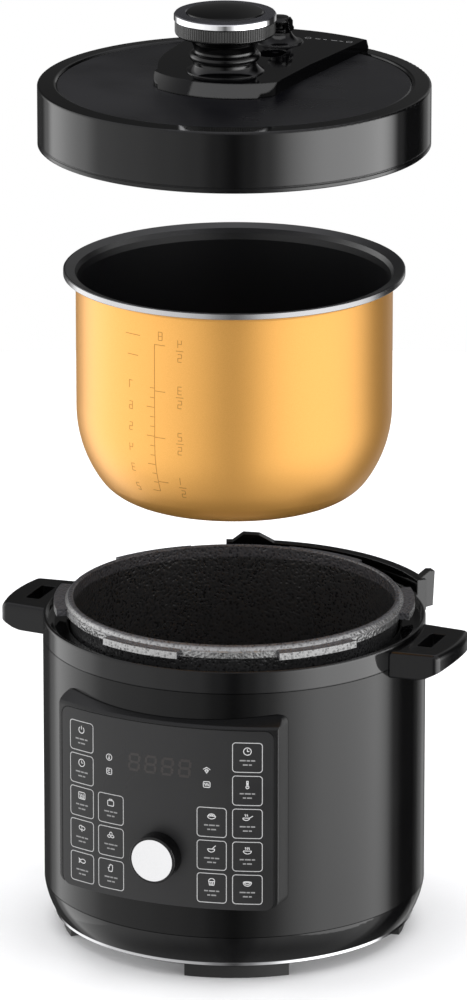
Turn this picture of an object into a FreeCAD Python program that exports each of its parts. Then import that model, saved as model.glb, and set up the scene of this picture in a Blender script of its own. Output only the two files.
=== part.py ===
import FreeCAD, Part
import math
import os
import Sketcher

# Electric pressure cooker, shown taken apart: the cooker stands on the floor, the inner pot hangs
# above it and the lid hangs above the pot. Millimetres, Z up, the control panel faces -Y.

os.makedirs("parts", exist_ok=True)
doc = FreeCAD.newDocument("pressure_cooker")

# ---------------------------------------------------------------- driving dimensions
DIMENSIONS = {
    # cooker body
    "body_radius": 148.5,
    "housing_wall": 1.0,
    "foot_height": 11.0,
    "foot_radius": 134.0,
    "foot_span": 35.0,
    "base_lip_radius": 140.0,
    "base_lip_level": 13.5,
    "base_seam_level": 38.0,
    "collar_seam_level": 235.0,
    "collar_top_level": 252.5,
    "channel_level": 245.0,
    # side handles and rear guard
    "handle_top_level": 249.0,
    "handle_thickness": 21.0,
    "handle_reach": 189.0,
    "handle_half_width": 36.0,
    "guard_inner_radius": 152.5,
    "guard_outer_radius": 160.0,
    "guard_top_level": 261.0,
    # outer pot with its bayonet flange
    "well_radius": 125.0,
    "well_wall": 2.2,
    "well_floor_level": 70.0,
    "flange_radius": 140.0,
    "flange_notch_radius": 132.0,
    "flange_under_level": 258.0,
    "flange_lobe_level": 263.4,
    "flange_top_level": 267.0,
    "lobe_span": 27.5,
    # heating plate
    "plate_radius": 84.0,
    "plate_top_level": 93.0,
    "plate_under_level": 80.0,
    "sensor_radius": 12.0,
    # control panel
    "panel_radius": 226.0,
    "panel_front": 155.0,
    "panel_half_width": 90.5,
    "panel_low_level": 61.0,
    "panel_high_level": 222.0,
    "face_half_width": 87.0,
    "face_low_level": 64.5,
    "face_high_level": 209.0,
    "face_sheet": 0.8,
    "knob_level": 104.5,
    "knob_radius": 18.5,
    "knob_cap_radius": 16.6,
    # inner pot
    "pot_radius": 121.5,
    "pot_wall": 2.0,
    "pot_rim_radius": 131.0,
    "pot_rim_height": 5.0,
    "pot_height": 179.0,
    "pot_seat_level": 93.3,
    "pot_raise": 257.6,
    # lid
    "lid_radius": 150.0,
    "lid_height": 47.0,
    "lid_seat_level": 252.8,
    "lid_raise": 375.5,
    "disc_radius": 135.0,
    "grip_radius": 39.0,
    "grip_x": -6.5,
    "grip_y": -2.5,
    "float_x": 6.5,
    "float_y": 62.5,
    "valve_x": -2.4,
    "valve_y": 99.0,
}

sheet = doc.addObject("Spreadsheet::Sheet", "dims")
row = 1
for alias in DIMENSIONS:
    sheet.set("A%d" % row, alias)
    sheet.set("B%d" % row, "%g" % DIMENSIONS[alias])
    sheet.setAlias("B%d" % row, alias)
    row = row + 1
doc.recompute()


def dim(alias, plus=0.0, times=1.0):
    """A length taken from the sheet: its value now, and the expression that keeps it driven."""
    value = DIMENSIONS[alias] * times + plus
    sign = "+" if plus >= 0 else "-"
    text = "dims.%s * %.6g %s %.6g" % (alias, times, sign, abs(plus))
    return (value, text)


def number(length):
    """The plain value of a length that may or may not be driven."""
    return length[0] if isinstance(length, tuple) else float(length)


def drive(target, prop, length):
    """Set a property to a length, and bind it to the sheet when the length is driven."""
    if isinstance(length, tuple):
        target.setExpression(prop, length[1])
    else:
        setattr(target, prop, float(length))


POT_BASE = (
    DIMENSIONS["pot_seat_level"] + DIMENSIONS["pot_raise"],
    "dims.pot_seat_level + dims.pot_raise",
)
LID_BASE = (
    DIMENSIONS["lid_seat_level"] + DIMENSIONS["lid_raise"],
    "dims.lid_seat_level + dims.lid_raise",
)


def place(item, x=0.0, y=0.0, z=0.0):
    """Put an object at a point; a driven coordinate follows the sheet."""
    spot = FreeCAD.Vector(number(x), number(y), number(z))
    item.Placement = FreeCAD.Placement(spot, item.Placement.Rotation)
    for axis, length in (("x", x), ("y", y), ("z", z)):
        if isinstance(length, tuple):
            item.setExpression("Placement.Base.%s" % axis, length[1])


def origin_plane(body, role):
    """One of the body's own origin planes."""
    for feature in body.Origin.OriginFeatures:
        if feature.Role == role:
            return feature
    raise ValueError(role)


def new_sketch(body, name, role):
    """An empty sketch on one of the body's own origin planes."""
    sketch = body.newObject("Sketcher::SketchObject", name)
    sketch.AttachmentSupport = [(origin_plane(body, role), "")]
    sketch.MapMode = "FlatFace"
    return sketch


def bulge_centre(start, end, radius, side):
    """Centre of the arc from start to end; side +1 puts it left of the way from start to end."""
    mid = ((start[0] + end[0]) / 2.0, (start[1] + end[1]) / 2.0)
    dx = end[0] - start[0]
    dy = end[1] - start[1]
    chord = math.hypot(dx, dy)
    reach = math.sqrt(max(radius * radius - chord * chord / 4.0, 0.0))
    return (mid[0] - side * dy / chord * reach, mid[1] + side * dx / chord * reach)


def draw_loop(sketch, loop):
    """Draw a closed loop. Each corner is (x, y) or (x, y, radius, side), where the radius bends the
    edge that leaves the corner. Every corner is pinned by two distances to the sketch origin."""
    count = len(loop)
    first = sketch.GeometryCount
    for index in range(count):
        here = loop[index]
        there = loop[(index + 1) % count]
        start = (number(here[0]), number(here[1]))
        end = (number(there[0]), number(there[1]))
        a = FreeCAD.Vector(start[0], start[1], 0)
        b = FreeCAD.Vector(end[0], end[1], 0)
        if len(here) == 2:
            sketch.addGeometry(Part.LineSegment(a, b), False)
        else:
            centre = bulge_centre(start, end, here[2], here[3])
            circle = Part.Circle(FreeCAD.Vector(centre[0], centre[1], 0), FreeCAD.Vector(0, 0, 1), here[2])
            low = math.atan2(start[1] - centre[1], start[0] - centre[0])
            high = math.atan2(end[1] - centre[1], end[0] - centre[0])
            if here[3] < 0:
                low, high = high, low
            sketch.addGeometry(Part.ArcOfCircle(circle, low, high), False)
    for index in range(count):
        here = loop[index]
        there = loop[(index + 1) % count]
        edge = first + index
        after = first + (index + 1) % count
        tail = 2 if len(here) == 2 or here[3] > 0 else 1
        head = 1 if len(there) == 2 or there[3] > 0 else 2
        sketch.addConstraint(Sketcher.Constraint("Coincident", edge, tail, after, head))
    for index in range(count):
        here = loop[index]
        edge = first + index
        head = 1 if len(here) == 2 or here[3] > 0 else 2
        for kind, length in (("DistanceX", here[0]), ("DistanceY", here[1])):
            if abs(number(length)) < 1e-9:
                # a corner on the axis is held on it instead of being given a zero distance
                line = -2 if kind == "DistanceX" else -1
                sketch.addConstraint(Sketcher.Constraint("PointOnObject", edge, head, line))
                continue
            value = number(length)
            spot = sketch.addConstraint(Sketcher.Constraint(kind, -1, 1, edge, head, value))
            if isinstance(length, tuple):
                sketch.setExpression("Constraints[%d]" % spot, length[1])
        if len(here) == 4:
            sketch.addConstraint(Sketcher.Constraint("Radius", edge, here[2]))


def turned(name, loop, x=0.0, y=0.0, z=0.0):
    """A body of revolution about its own Z axis, from a loop of (radius, height) corners."""
    body = doc.addObject("PartDesign::Body", name)
    sketch = new_sketch(body, name + "_profile", "XZ_Plane")
    draw_loop(sketch, loop)
    turn = body.newObject("PartDesign::Revolution", name + "_turn")
    turn.Profile = sketch
    turn.ReferenceAxis = (sketch, ["V_Axis"])
    turn.Angle = 360.0
    place(body, x, y, z)
    return body


def slab(name, loop, low, height, x=0.0, y=0.0, z=0.0, taper=0.0):
    """A body padded up from a flat loop of (x, y) corners."""
    body = doc.addObject("PartDesign::Body", name)
    sketch = new_sketch(body, name + "_outline", "XY_Plane")
    sketch.AttachmentOffset = FreeCAD.Placement(
        FreeCAD.Vector(0, 0, number(low)), FreeCAD.Rotation()
    )
    if isinstance(low, tuple):
        sketch.setExpression("AttachmentOffset.Base.z", low[1])
    draw_loop(sketch, loop)
    pad = body.newObject("PartDesign::Pad", name + "_pad")
    pad.Profile = sketch
    drive(pad, "Length", height)
    pad.TaperAngle = taper
    place(body, x, y, z)
    return body


def rod(name, radius, height, x=0.0, y=0.0, z=0.0, along="z"):
    """A plain cylinder standing on a point, along one axis."""
    item = doc.addObject("Part::Cylinder", name)
    drive(item, "Radius", radius)
    drive(item, "Height", height)
    if along == "y":
        item.Placement.Rotation = FreeCAD.Rotation(FreeCAD.Vector(1, 0, 0), -90)
    if along == "x":
        item.Placement.Rotation = FreeCAD.Rotation(FreeCAD.Vector(0, 1, 0), 90)
    place(item, x, y, z)
    return item


def block(name, length, width, height, x, y, z):
    """A box centred on x and y that stands on z."""
    item = doc.addObject("Part::Box", name)
    drive(item, "Length", length)
    drive(item, "Width", width)
    drive(item, "Height", height)
    place(item, number(x) - number(length) / 2.0, number(y) - number(width) / 2.0, z)
    return item


def rounded_block(name, length, width, height, x, y, z, radius):
    """A box with its four upright edges rounded, centred on x and y and standing on z."""
    core = block(name + "_box", length, width, height, x, y, z)
    item = doc.addObject("Part::Fillet", name)
    item.Base = core
    doc.recompute()
    edges = []
    for index, edge in enumerate(core.Shape.Edges):
        if abs(edge.tangentAt(edge.FirstParameter).z) > 0.99:
            edges.append((index + 1, radius, radius))
    item.Edges = edges
    return item


def cut(name, base, tools):
    """The base with every tool taken away."""
    item = base
    for index, tool in enumerate(tools):
        last = index == len(tools) - 1
        step = doc.addObject("Part::Cut", name if last else "%s_cut_%d" % (name, index + 1))
        step.Base = item
        step.Tool = tool
        item = step
    return item


def fuse(name, shapes):
    """Several shapes joined into one object."""
    item = doc.addObject("Part::MultiFuse", name)
    item.Shapes = shapes
    return item


def common(name, shapes):
    """The space that every shape shares."""
    item = doc.addObject("Part::MultiCommon", name)
    item.Shapes = shapes
    return item


def group(name, shapes):
    """Several separate copies kept together as one part."""
    item = doc.addObject("Part::Compound", name)
    item.Links = shapes
    return item


def sector(name, inner, outer, low, high, start, span):
    """Part of a ring: from start over span degrees, counted round from -Y towards +X."""
    wheel = doc.addObject("Part::Cylinder", name + "_outer")
    drive(wheel, "Radius", outer)
    wheel.Height = number(high) - number(low)
    wheel.Angle = span
    turn = FreeCAD.Rotation(FreeCAD.Vector(0, 0, 1), start - 90.0)
    wheel.Placement = FreeCAD.Placement(FreeCAD.Vector(0, 0, number(low)), turn)
    core = rod(name + "_inner", inner, number(high) - number(low) + 2.0, z=number(low) - 1.0)
    return cut(name, wheel, [core])


def around(angle, radius):
    """The x and y of a point, its angle counted round from -Y towards +X."""
    turn = math.radians(angle)
    return (radius * math.sin(turn), -radius * math.cos(turn))


def turn_about_axis(item, angle):
    """Turn an object about the world Z axis."""
    turn = FreeCAD.Placement(FreeCAD.Vector(0, 0, 0), FreeCAD.Rotation(FreeCAD.Vector(0, 0, 1), angle))
    item.Placement = turn.multiply(item.Placement)


# The finished parts, by node name.
parts = {}

# ---------------------------------------------------------------- bottom shell and feet
shell_body = turned(
    "bottom_shell_turned",
    [
        (0.0, 10.8),
        (137.5, 10.8),
        (dim("base_lip_radius", 0.4), 12.4),
        (dim("base_lip_radius", 0.4), dim("base_lip_level", 1.0), 60.0, 1),
        (dim("body_radius"), dim("base_seam_level", -0.3)),
        (dim("body_radius", -1.2), dim("base_seam_level", -0.3)),
        (dim("body_radius", -1.2), dim("base_seam_level", 6.0)),
        (dim("body_radius", -2.6), dim("base_seam_level", 6.0)),
        (dim("body_radius", -3.4), 28.0),
        (137.0, 13.4),
        (0.0, 13.4),
    ],
)
VENT_COUNT = 12
vents = []
for index in range(VENT_COUNT):
    for ring, radius in enumerate((52.0, 74.0)):
        spot = around(index * 360.0 / VENT_COUNT + 15.0, radius)
        slot = doc.addObject("Part::Box", "vent_%d_%d" % (ring, index))
        slot.Length = 14.0
        slot.Width = 4.0
        slot.Height = 6.0
        slot.Placement = FreeCAD.Placement(
            FreeCAD.Vector(-7.0, -2.0, 9.0), FreeCAD.Rotation()
        )
        turn = FreeCAD.Placement(
            FreeCAD.Vector(spot[0], spot[1], 0),
            FreeCAD.Rotation(FreeCAD.Vector(0, 0, 1), index * 360.0 / VENT_COUNT - 75.0),
        )
        slot.Placement = turn.multiply(slot.Placement)
        vents.append(slot)
INLET_LEVEL = 16.0
inlet_gap = block("inlet_gap", 28.6, 24.0, 20.6, 0.0, 140.0, INLET_LEVEL - 0.3)
FOOT_TURNS = (22.5, 112.5, 202.5, 292.5)
screw_holes = []
for index, turn in enumerate(FOOT_TURNS):
    spot = around(turn, 126.0)
    screw_holes.append(rod("base_screw_hole_%d" % index, 2.2, 8.0, spot[0], spot[1], 8.0))
parts["bottom_shell"] = cut(
    "bottom_shell", shell_body, [fuse("bottom_gaps", vents + screw_holes), inlet_gap]
)

feet = []
for index, turn in enumerate(FOOT_TURNS):
    spot = around(turn, 126.0)
    foot = sector(
        "foot_block_%d" % index,
        118.0,
        dim("foot_radius"),
        0.0,
        10.7,
        turn - DIMENSIONS["foot_span"] / 2.0,
        DIMENSIONS["foot_span"],
    )
    well = rod("foot_well_%d" % index, 4.6, 6.0, spot[0], spot[1], -1.0)
    neck = rod("foot_neck_%d" % index, 2.2, 20.0, spot[0], spot[1], -1.0)
    feet.append(cut("foot_%d" % index, foot, [well, neck]))
parts["feet"] = group("feet", feet)

screws = []
for index, turn in enumerate(FOOT_TURNS):
    spot = around(turn, 126.0)
    head = rod("base_screw_head_%d" % index, 4.0, 2.4, spot[0], spot[1], 2.5)
    shank = rod("base_screw_shank_%d" % index, 2.0, 16.0, spot[0], spot[1], 4.8)
    socket = block("base_screw_cross_%d" % index, 5.0, 1.0, 1.4, spot[0], spot[1], 2.0)
    screws.append(cut("base_screw_%d" % index, fuse("base_screw_body_%d" % index, [head, shank]), [socket]))
parts["base_screws"] = group("base_screws", screws)

# ---------------------------------------------------------------- outer housing
housing_outer = rod(
    "housing_outer", dim("body_radius"), 196.6, z=dim("base_seam_level", 0.2)
)
housing_inner = rod("housing_inner", dim("body_radius", -DIMENSIONS["housing_wall"]), 220.0, z=30.0)
housing_window = block("housing_window", 142.0, 60.0, 118.0, 0.0, -140.0, 78.0)
parts["outer_housing"] = cut("outer_housing", housing_outer, [housing_inner, housing_window])

# ---------------------------------------------------------------- collar round the top
parts["top_collar"] = turned(
    "top_collar",
    [
        (dim("body_radius"), dim("collar_seam_level", 0.2)),
        (dim("body_radius"), dim("collar_top_level", -1.6), 1.6, 1),
        (dim("body_radius", -1.6), dim("collar_top_level")),
        (dim("body_radius", -2.6), dim("collar_top_level")),
        (dim("body_radius", -4.0), dim("channel_level", 2.0)),
        (dim("body_radius", -9.0), dim("channel_level", 0.6)),
        (dim("well_radius", 5.0), dim("channel_level")),
        (dim("well_radius", 3.6), dim("channel_level", -1.0)),
        (dim("well_radius", 3.6), dim("channel_level", -5.0)),
        (dim("body_radius", -7.0), dim("channel_level", -3.0)),
        (dim("body_radius", -2.6), dim("channel_level", -4.0)),
        (dim("body_radius", -2.6), dim("collar_seam_level", -6.0)),
        (dim("body_radius", -1.2), dim("collar_seam_level", -6.0)),
        (dim("body_radius", -1.2), dim("collar_seam_level", 0.2)),
    ],
)

# ---------------------------------------------------------------- side handles
HALF = DIMENSIONS["handle_half_width"]
for side, name in ((1.0, "side_handle_right"), (-1.0, "side_handle_left")):
    outline = [
        (140.0, -HALF - 4.0),
        (181.0, -HALF, 130.0, 1),
        (181.0, HALF),
        (140.0, HALF + 4.0),
    ]
    raw = slab(
        name + "_outline_body", outline, dim("handle_top_level", -21.0), dim("handle_thickness")
    )
    doc.recompute()
    soft = doc.addObject("Part::Fillet", name + "_soft")
    soft.Base = raw
    edges = []
    for index, edge in enumerate(raw.Shape.Edges):
        box = edge.BoundBox
        if box.XMin < 150.0 and box.XMax < 150.0:
            continue
        upright = box.ZMax - box.ZMin > 5.0
        upper = box.ZMin > DIMENSIONS["handle_top_level"] - 1.0
        size = 6.0 if upright else 4.5 if upper else 2.5
        edges.append((index + 1, size, size))
    soft.Edges = edges
    drum = rod(name + "_drum", dim("body_radius", 0.1), 40.0, z=222.0)
    slot = rounded_block(name + "_slot", 12.0, 34.0, 30.0, 163.0, 0.0, 224.0, 2.0)
    hollow = rounded_block(name + "_hollow", 32.0, 62.0, 17.0, 164.0, 0.0, 226.0, 3.0)
    walls = rounded_block(name + "_walls", 17.0, 39.0, 18.0, 163.0, 0.0, 227.0, 2.0)
    ribbed = cut(name + "_void", hollow, [walls])
    rise_body = doc.addObject("PartDesign::Body", name + "_rise_body")
    rise_sketch = new_sketch(rise_body, name + "_rise_outline", "XZ_Plane")
    draw_loop(
        rise_sketch,
        [(160.0, 224.0), (192.0, 224.0), (192.0, 240.0), (187.0, 238.0), (172.0, 230.4), (164.0, 228.0)],
    )
    rise_pad = rise_body.newObject("PartDesign::Pad", name + "_rise_pad")
    rise_pad.Profile = rise_sketch
    rise_pad.Length = 100.0
    rise_pad.Midplane = True
    item = cut(name if side > 0 else name + "_facing_right", soft, [drum, ribbed, slot, rise_body])
    if side < 0:
        turned_item = doc.addObject("Part::Compound", name)
        turned_item.Links = [item]
        turned_item.Placement = FreeCAD.Placement(
            FreeCAD.Vector(0, 0, 0), FreeCAD.Rotation(FreeCAD.Vector(0, 0, 1), 180)
        )
        item = turned_item
    parts[name] = item

# ---------------------------------------------------------------- rear guard with stop and hook
GUARD_START = 132.0
GUARD_SPAN = 72.0
guard_wall = sector(
    "guard_wall",
    dim("guard_inner_radius"),
    dim("guard_outer_radius"),
    236.0,
    dim("guard_top_level"),
    GUARD_START,
    GUARD_SPAN,
)
guard_web = sector(
    "guard_web", dim("body_radius", 0.1), dim("guard_inner_radius", 0.5), 236.0, 249.0, GUARD_START, GUARD_SPAN
)
bump_body = doc.addObject("PartDesign::Body", "guard_bump_body")
bump_sketch = new_sketch(bump_body, "guard_bump_outline", "XZ_Plane")
draw_loop(
    bump_sketch,
    [(-20.0, 250.0), (20.0, 250.0), (20.0, 260.5), (7.0, 267.0), (-6.0, 267.5), (-15.0, 260.5)],
)
bump_pad = bump_body.newObject("PartDesign::Pad", "guard_bump_pad")
bump_pad.Profile = bump_sketch
bump_pad.Length = 175.0
bump_pad.Reversed = True
turn_about_axis(bump_body, 197.0 - 180.0)
bump_ring = sector(
    "guard_bump_ring", dim("guard_inner_radius"), dim("guard_outer_radius"), 245.0, 275.0, 180.0, 40.0
)
guard_bump = common("guard_bump", [bump_body, bump_ring])
hook_body = doc.addObject("PartDesign::Body", "guard_hook_body")
hook_sketch = new_sketch(hook_body, "guard_hook_outline", "XZ_Plane")
draw_loop(
    hook_sketch,
    [(153.0, 236.0), (167.0, 238.0), (168.5, 266.0), (164.0, 266.5), (153.0, 259.0)],
)
hook_pad = hook_body.newObject("PartDesign::Pad", "guard_hook_pad")
hook_pad.Profile = hook_sketch
hook_pad.Length = 8.0
hook_pad.Midplane = True
turn_about_axis(hook_body, 134.5 - 90.0)
parts["rear_guard"] = fuse("rear_guard", [guard_wall, guard_web, guard_bump, hook_body])

# ---------------------------------------------------------------- outer pot with bayonet flange
well_body = turned(
    "well_body",
    [
        (20.0, dim("well_floor_level")),
        (96.0, dim("well_floor_level"), 30.0, 1),
        (dim("well_radius", 2.2), dim("well_floor_level", 31.0)),
        (dim("well_radius", 2.2), dim("flange_under_level", -1.5)),
        (dim("well_radius", 3.5), dim("flange_under_level")),
        (dim("flange_notch_radius"), dim("flange_under_level")),
        (dim("flange_notch_radius"), dim("flange_lobe_level", -0.6)),
        (dim("flange_notch_radius", -1.0), dim("flange_lobe_level", 0.2)),
        (dim("well_radius", 3.8), dim("flange_top_level", -0.6)),
        (dim("well_radius", 2.6), dim("flange_top_level")),
        (dim("well_radius", 1.0), dim("flange_top_level")),
        (dim("well_radius"), dim("flange_top_level", -1.0)),
        (dim("well_radius"), dim("well_floor_level", 31.0), 28.0, -1),
        (96.0, dim("well_floor_level", 2.2)),
        (20.0, dim("well_floor_level", 2.2)),
    ],
)
LOBE_COUNT = 6
LOBE_CENTRE = 49.7
lobes = []
for index in range(LOBE_COUNT):
    lobes.append(
        sector(
            "flange_lobe_%d" % index,
            dim("flange_notch_radius", -2.0),
            dim("flange_radius"),
            DIMENSIONS["flange_under_level"],
            DIMENSIONS["flange_lobe_level"],
            LOBE_CENTRE + index * 60.0 - DIMENSIONS["lobe_span"] / 2.0,
            DIMENSIONS["lobe_span"],
        )
    )
outer_pot_whole = fuse("outer_pot_whole", [well_body] + lobes)

# ---------------------------------------------------------------- heating plate and sensor
parts["heating_plate"] = turned(
    "heating_plate",
    [
        (16.0, dim("plate_under_level")),
        (dim("plate_radius", -3.0), dim("plate_under_level")),
        (dim("plate_radius"), dim("plate_under_level", 2.0)),
        (dim("plate_radius"), dim("plate_top_level", -2.0)),
        (dim("plate_radius", -4.0), dim("plate_top_level")),
        (17.0, dim("plate_top_level")),
        (16.0, dim("plate_top_level", -1.0)),
    ],
)
element = doc.addObject("Part::Torus", "heating_element_coil")
element.Radius1 = 58.0
element.Radius2 = 3.7
place(element, 0, 0, 76.0)
element_ends = []
for side in (-1.0, 1.0):
    element_ends.append(rod("element_end_%d" % (side + 2), 3.2, 26.0, side * 7.0, 57.5, 50.0))
element_gaps = []
for side in (-1.0, 1.0):
    element_gaps.append(rod("element_gap_%d" % (side + 2), 3.6, 14.0, side * 7.0, 57.5, 62.0))
parts["heating_element"] = fuse("heating_element", [element] + element_ends)
parts["outer_pot"] = cut("outer_pot", outer_pot_whole, element_gaps)

supports = []
for index in range(3):
    spot = around(180.0 + index * 120.0, 88.0)
    post = rod("support_post_%d" % index, 4.0, 56.5, spot[0], spot[1], 13.45)
    supports.append(post)
parts["pot_supports"] = group("pot_supports", supports)

# the sensor can slides in the hole of the plate and presses on the pot
sensor_can = turned(
    "sensor_can",
    [
        (0.0, 94.0),
        (4.0, 94.0),
        (4.0, 93.9),
        (dim("sensor_radius", -0.8), 93.9),
        (dim("sensor_radius", -0.8), 84.0),
        (dim("sensor_radius"), 84.0),
        (dim("sensor_radius"), 94.4),
        (dim("sensor_radius", -0.6), 95.0),
        (0.0, 95.0),
    ],
)
sensor_post = rod("sensor_post", 3.0, 34.0, 0, 0, 60.0)
parts["sensor_button"] = fuse("sensor_button", [sensor_can, sensor_post])
parts["sensor_holder"] = turned(
    "sensor_holder",
    [
        (3.05, 62.0),
        (6.0, 62.0),
        (6.0, 66.0),
        (26.0, 66.0),
        (26.0, 69.9),
        (10.0, 69.9),
        (10.0, 78.0),
        (8.4, 78.0),
        (8.4, 68.0),
        (3.05, 68.0),
    ],
)

# ---------------------------------------------------------------- control panel
PANEL_AXIS = DIMENSIONS["panel_radius"] - DIMENSIONS["panel_front"]
frame_crown = turned(
    "frame_crown",
    [
        (dim("panel_radius", -90.0), dim("panel_low_level", -4.0)),
        (dim("panel_radius", -1.2), dim("panel_low_level", -4.0)),
        (dim("panel_radius"), dim("panel_low_level", 1.6)),
        (dim("panel_radius"), dim("face_high_level", 1.0)),
        (dim("panel_radius", -1.6), dim("face_high_level", 2.8)),
        (dim("panel_radius", -19.0), dim("panel_high_level", -2.0)),
        (dim("panel_radius", -24.0), dim("panel_high_level")),
        (dim("panel_radius", -90.0), dim("panel_high_level")),
    ],
    y=PANEL_AXIS,
)
FRAME_HIGH = DIMENSIONS["panel_high_level"] - DIMENSIONS["panel_low_level"]
FRAME_MIDDLE = (DIMENSIONS["panel_high_level"] + DIMENSIONS["panel_low_level"]) / 2.0


def front_plate(name, half_width, low, high, corner, depth, taper):
    """A rounded rectangle seen from the front, grown forward from the middle plane of the cooker."""
    body = doc.addObject("PartDesign::Body", name)
    sketch = new_sketch(body, name + "_outline", "XZ_Plane")
    draw_loop(
        sketch,
        [
            (-half_width + corner, low),
            (half_width - corner, low, corner, 1),
            (half_width, low + corner),
            (half_width, high - corner, corner, 1),
            (half_width - corner, high),
            (-half_width + corner, high, corner, 1),
            (-half_width, high - corner),
            (-half_width, low + corner, corner, 1),
        ],
    )
    pad = body.newObject("PartDesign::Pad", name + "_pad")
    pad.Profile = sketch
    pad.Length = depth
    pad.TaperAngle = taper
    return body


frame_blank = front_plate(
    "frame_blank",
    DIMENSIONS["panel_half_width"] + 6.0,
    DIMENSIONS["panel_low_level"] - 1.0,
    DIMENSIONS["panel_high_level"] + 1.0,
    12.0,
    170.0,
    -2.6,
)
frame_form = common("frame_form", [frame_crown, frame_blank])
frame_drum = rod("frame_drum", dim("body_radius", 0.1), 240.0, z=30.0)
frame_window = block("frame_spigot", 141.0, 30.0, 117.0, 0.0, -150.0, 78.5)
frame_ring = sector("frame_spigot_ring", 143.0, dim("body_radius", 0.6), 70.0, 205.0, -45.0, 90.0)
frame_spigot = common("frame_spigot_form", [frame_window, frame_ring])
frame_shell = fuse("frame_shell", [cut("frame_front", frame_form, [frame_drum]), frame_spigot])
frame_hollow_box = block("frame_hollow_box", 134.0, 60.0, 110.0, 0.0, -140.0, 82.0)
frame_hollow_drum = rod("frame_hollow_drum", dim("panel_radius", -3.4), 200.0, 0.0, PANEL_AXIS, 50.0)
frame_hollow = common("frame_hollow", [frame_hollow_box, frame_hollow_drum])
# the recess that takes the printed face sheet
face_blank = front_plate(
    "face_blank",
    DIMENSIONS["face_half_width"],
    DIMENSIONS["face_low_level"],
    DIMENSIONS["face_high_level"],
    7.0,
    170.0,
    0.0,
)
recess_blank = front_plate(
    "recess_blank",
    DIMENSIONS["face_half_width"] + 0.25,
    DIMENSIONS["face_low_level"] - 0.25,
    DIMENSIONS["face_high_level"] + 0.25,
    7.2,
    170.0,
    0.0,
)
recess_ring = turned(
    "recess_ring",
    [
        (dim("panel_radius", -0.8), 50.0),
        (dim("panel_radius", 6.0), 50.0),
        (dim("panel_radius", 6.0), 225.0),
        (dim("panel_radius", -0.8), 225.0),
    ],
    y=PANEL_AXIS,
)
frame_recess = common("frame_recess", [recess_blank, recess_ring])
display_gap = block("display_gap", 62.0, 40.0, 24.0, 0.0, -150.0, 164.5)
shaft_gap = rod("shaft_gap", 4.2, 60.0, 0.0, -190.0, dim("knob_level"), along="y")
parts["panel_frame"] = cut(
    "panel_frame", frame_shell, [frame_hollow, frame_recess, display_gap, shaft_gap]
)
face_ring = turned(
    "face_ring",
    [
        (dim("panel_radius", -0.7), 50.0),
        (dim("panel_radius", 0.1), 50.0),
        (dim("panel_radius", 0.1), 225.0),
        (dim("panel_radius", -0.7), 225.0),
    ],
    y=PANEL_AXIS,
)
face_form = common("face_form", [face_blank, face_ring])
face_hole = rod("face_hole", 5.0, 60.0, 0.0, -190.0, dim("knob_level"), along="y")
parts["panel_face"] = cut("panel_face", face_form, [face_hole])

# boards behind the panel
board_blank = block("board_blank", 124.0, 1.6, 104.0, 0.0, -139.5, 84.0)
board_hole = rod("board_hole", 4.4, 12.0, 0.0, -145.0, dim("knob_level"), along="y")
parts["control_board"] = cut("control_board", board_blank, [board_hole])
parts["display_module"] = block("display_module", 60.0, 7.6, 22.0, 0.0, -144.2, 165.5)
encoder_case = block("encoder_case", 13.0, 5.4, 13.0, 0.0, -143.1, DIMENSIONS["knob_level"] - 6.5)
encoder_bore = rod("encoder_bore", 3.05, 20.0, 0.0, -150.0, dim("knob_level"), along="y")
parts["encoder"] = cut("encoder", encoder_case, [encoder_bore])
power_board = block("power_board_sheet", 70.0, 50.0, 1.6, 0.0, -60.0, 26.0)
power_lumps = [
    block("relay", 20.0, 16.0, 16.0, -20.0, -60.0, 27.6),
    block("transformer", 22.0, 20.0, 18.0, 12.0, -66.0, 27.6),
    rod("capacitor", 6.0, 20.0, 24.0, -44.0, 27.6),
]
board_posts = []
for x in (-30.0, 30.0):
    for y in (-80.0, -40.0):
        board_posts.append(rod("board_post_%d_%d" % (x, -y), 3.0, 12.6, x, y, 13.4))
parts["power_board"] = fuse("power_board", [power_board] + power_lumps + board_posts)

# control knob: black skirt, bright cap, shaft into the encoder
KNOB_BACK = -156.0
skirt = rod("knob_skirt", dim("knob_radius"), 13.5, 0.0, KNOB_BACK - 13.5, dim("knob_level"), along="y")
skirt_recess = rod(
    "knob_skirt_recess", dim("knob_cap_radius", 0.2), 2.0, 0.0, KNOB_BACK - 14.0, dim("knob_level"), along="y"
)
skirt_bore = rod("knob_skirt_bore", 3.0, 8.0, 0.0, KNOB_BACK - 7.0, dim("knob_level"), along="y")
parts["control_knob"] = cut("control_knob", skirt, [skirt_recess, skirt_bore])
parts["control_knob_cap"] = rod(
    "control_knob_cap", dim("knob_cap_radius"), 2.2, 0.0, KNOB_BACK - 14.2, dim("knob_level"), along="y"
)
parts["encoder_shaft"] = rod("encoder_shaft", 3.0, 21.5, 0.0, KNOB_BACK - 7.0, dim("knob_level"), along="y")

# ---------------------------------------------------------------- power inlet
inlet_case = block("inlet_case", 28.0, 22.0, 20.0, 0.0, 137.2, INLET_LEVEL)
inlet_well = rounded_block("inlet_well", 24.0, 16.0, 16.0, 0.0, 142.4, INLET_LEVEL + 2.0, 0.6)
pins = []
for x, z in ((-7.0, 8.0), (7.0, 8.0), (0.0, 12.0)):
    pins.append(block("inlet_pin_%d" % (x + 8), 2.0, 8.0, 4.0, x, 138.4, INLET_LEVEL + z - 2.0))
parts["power_inlet"] = cut("power_inlet", inlet_case, [inlet_well])
parts["inlet_pins"] = group("inlet_pins", pins)

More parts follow.
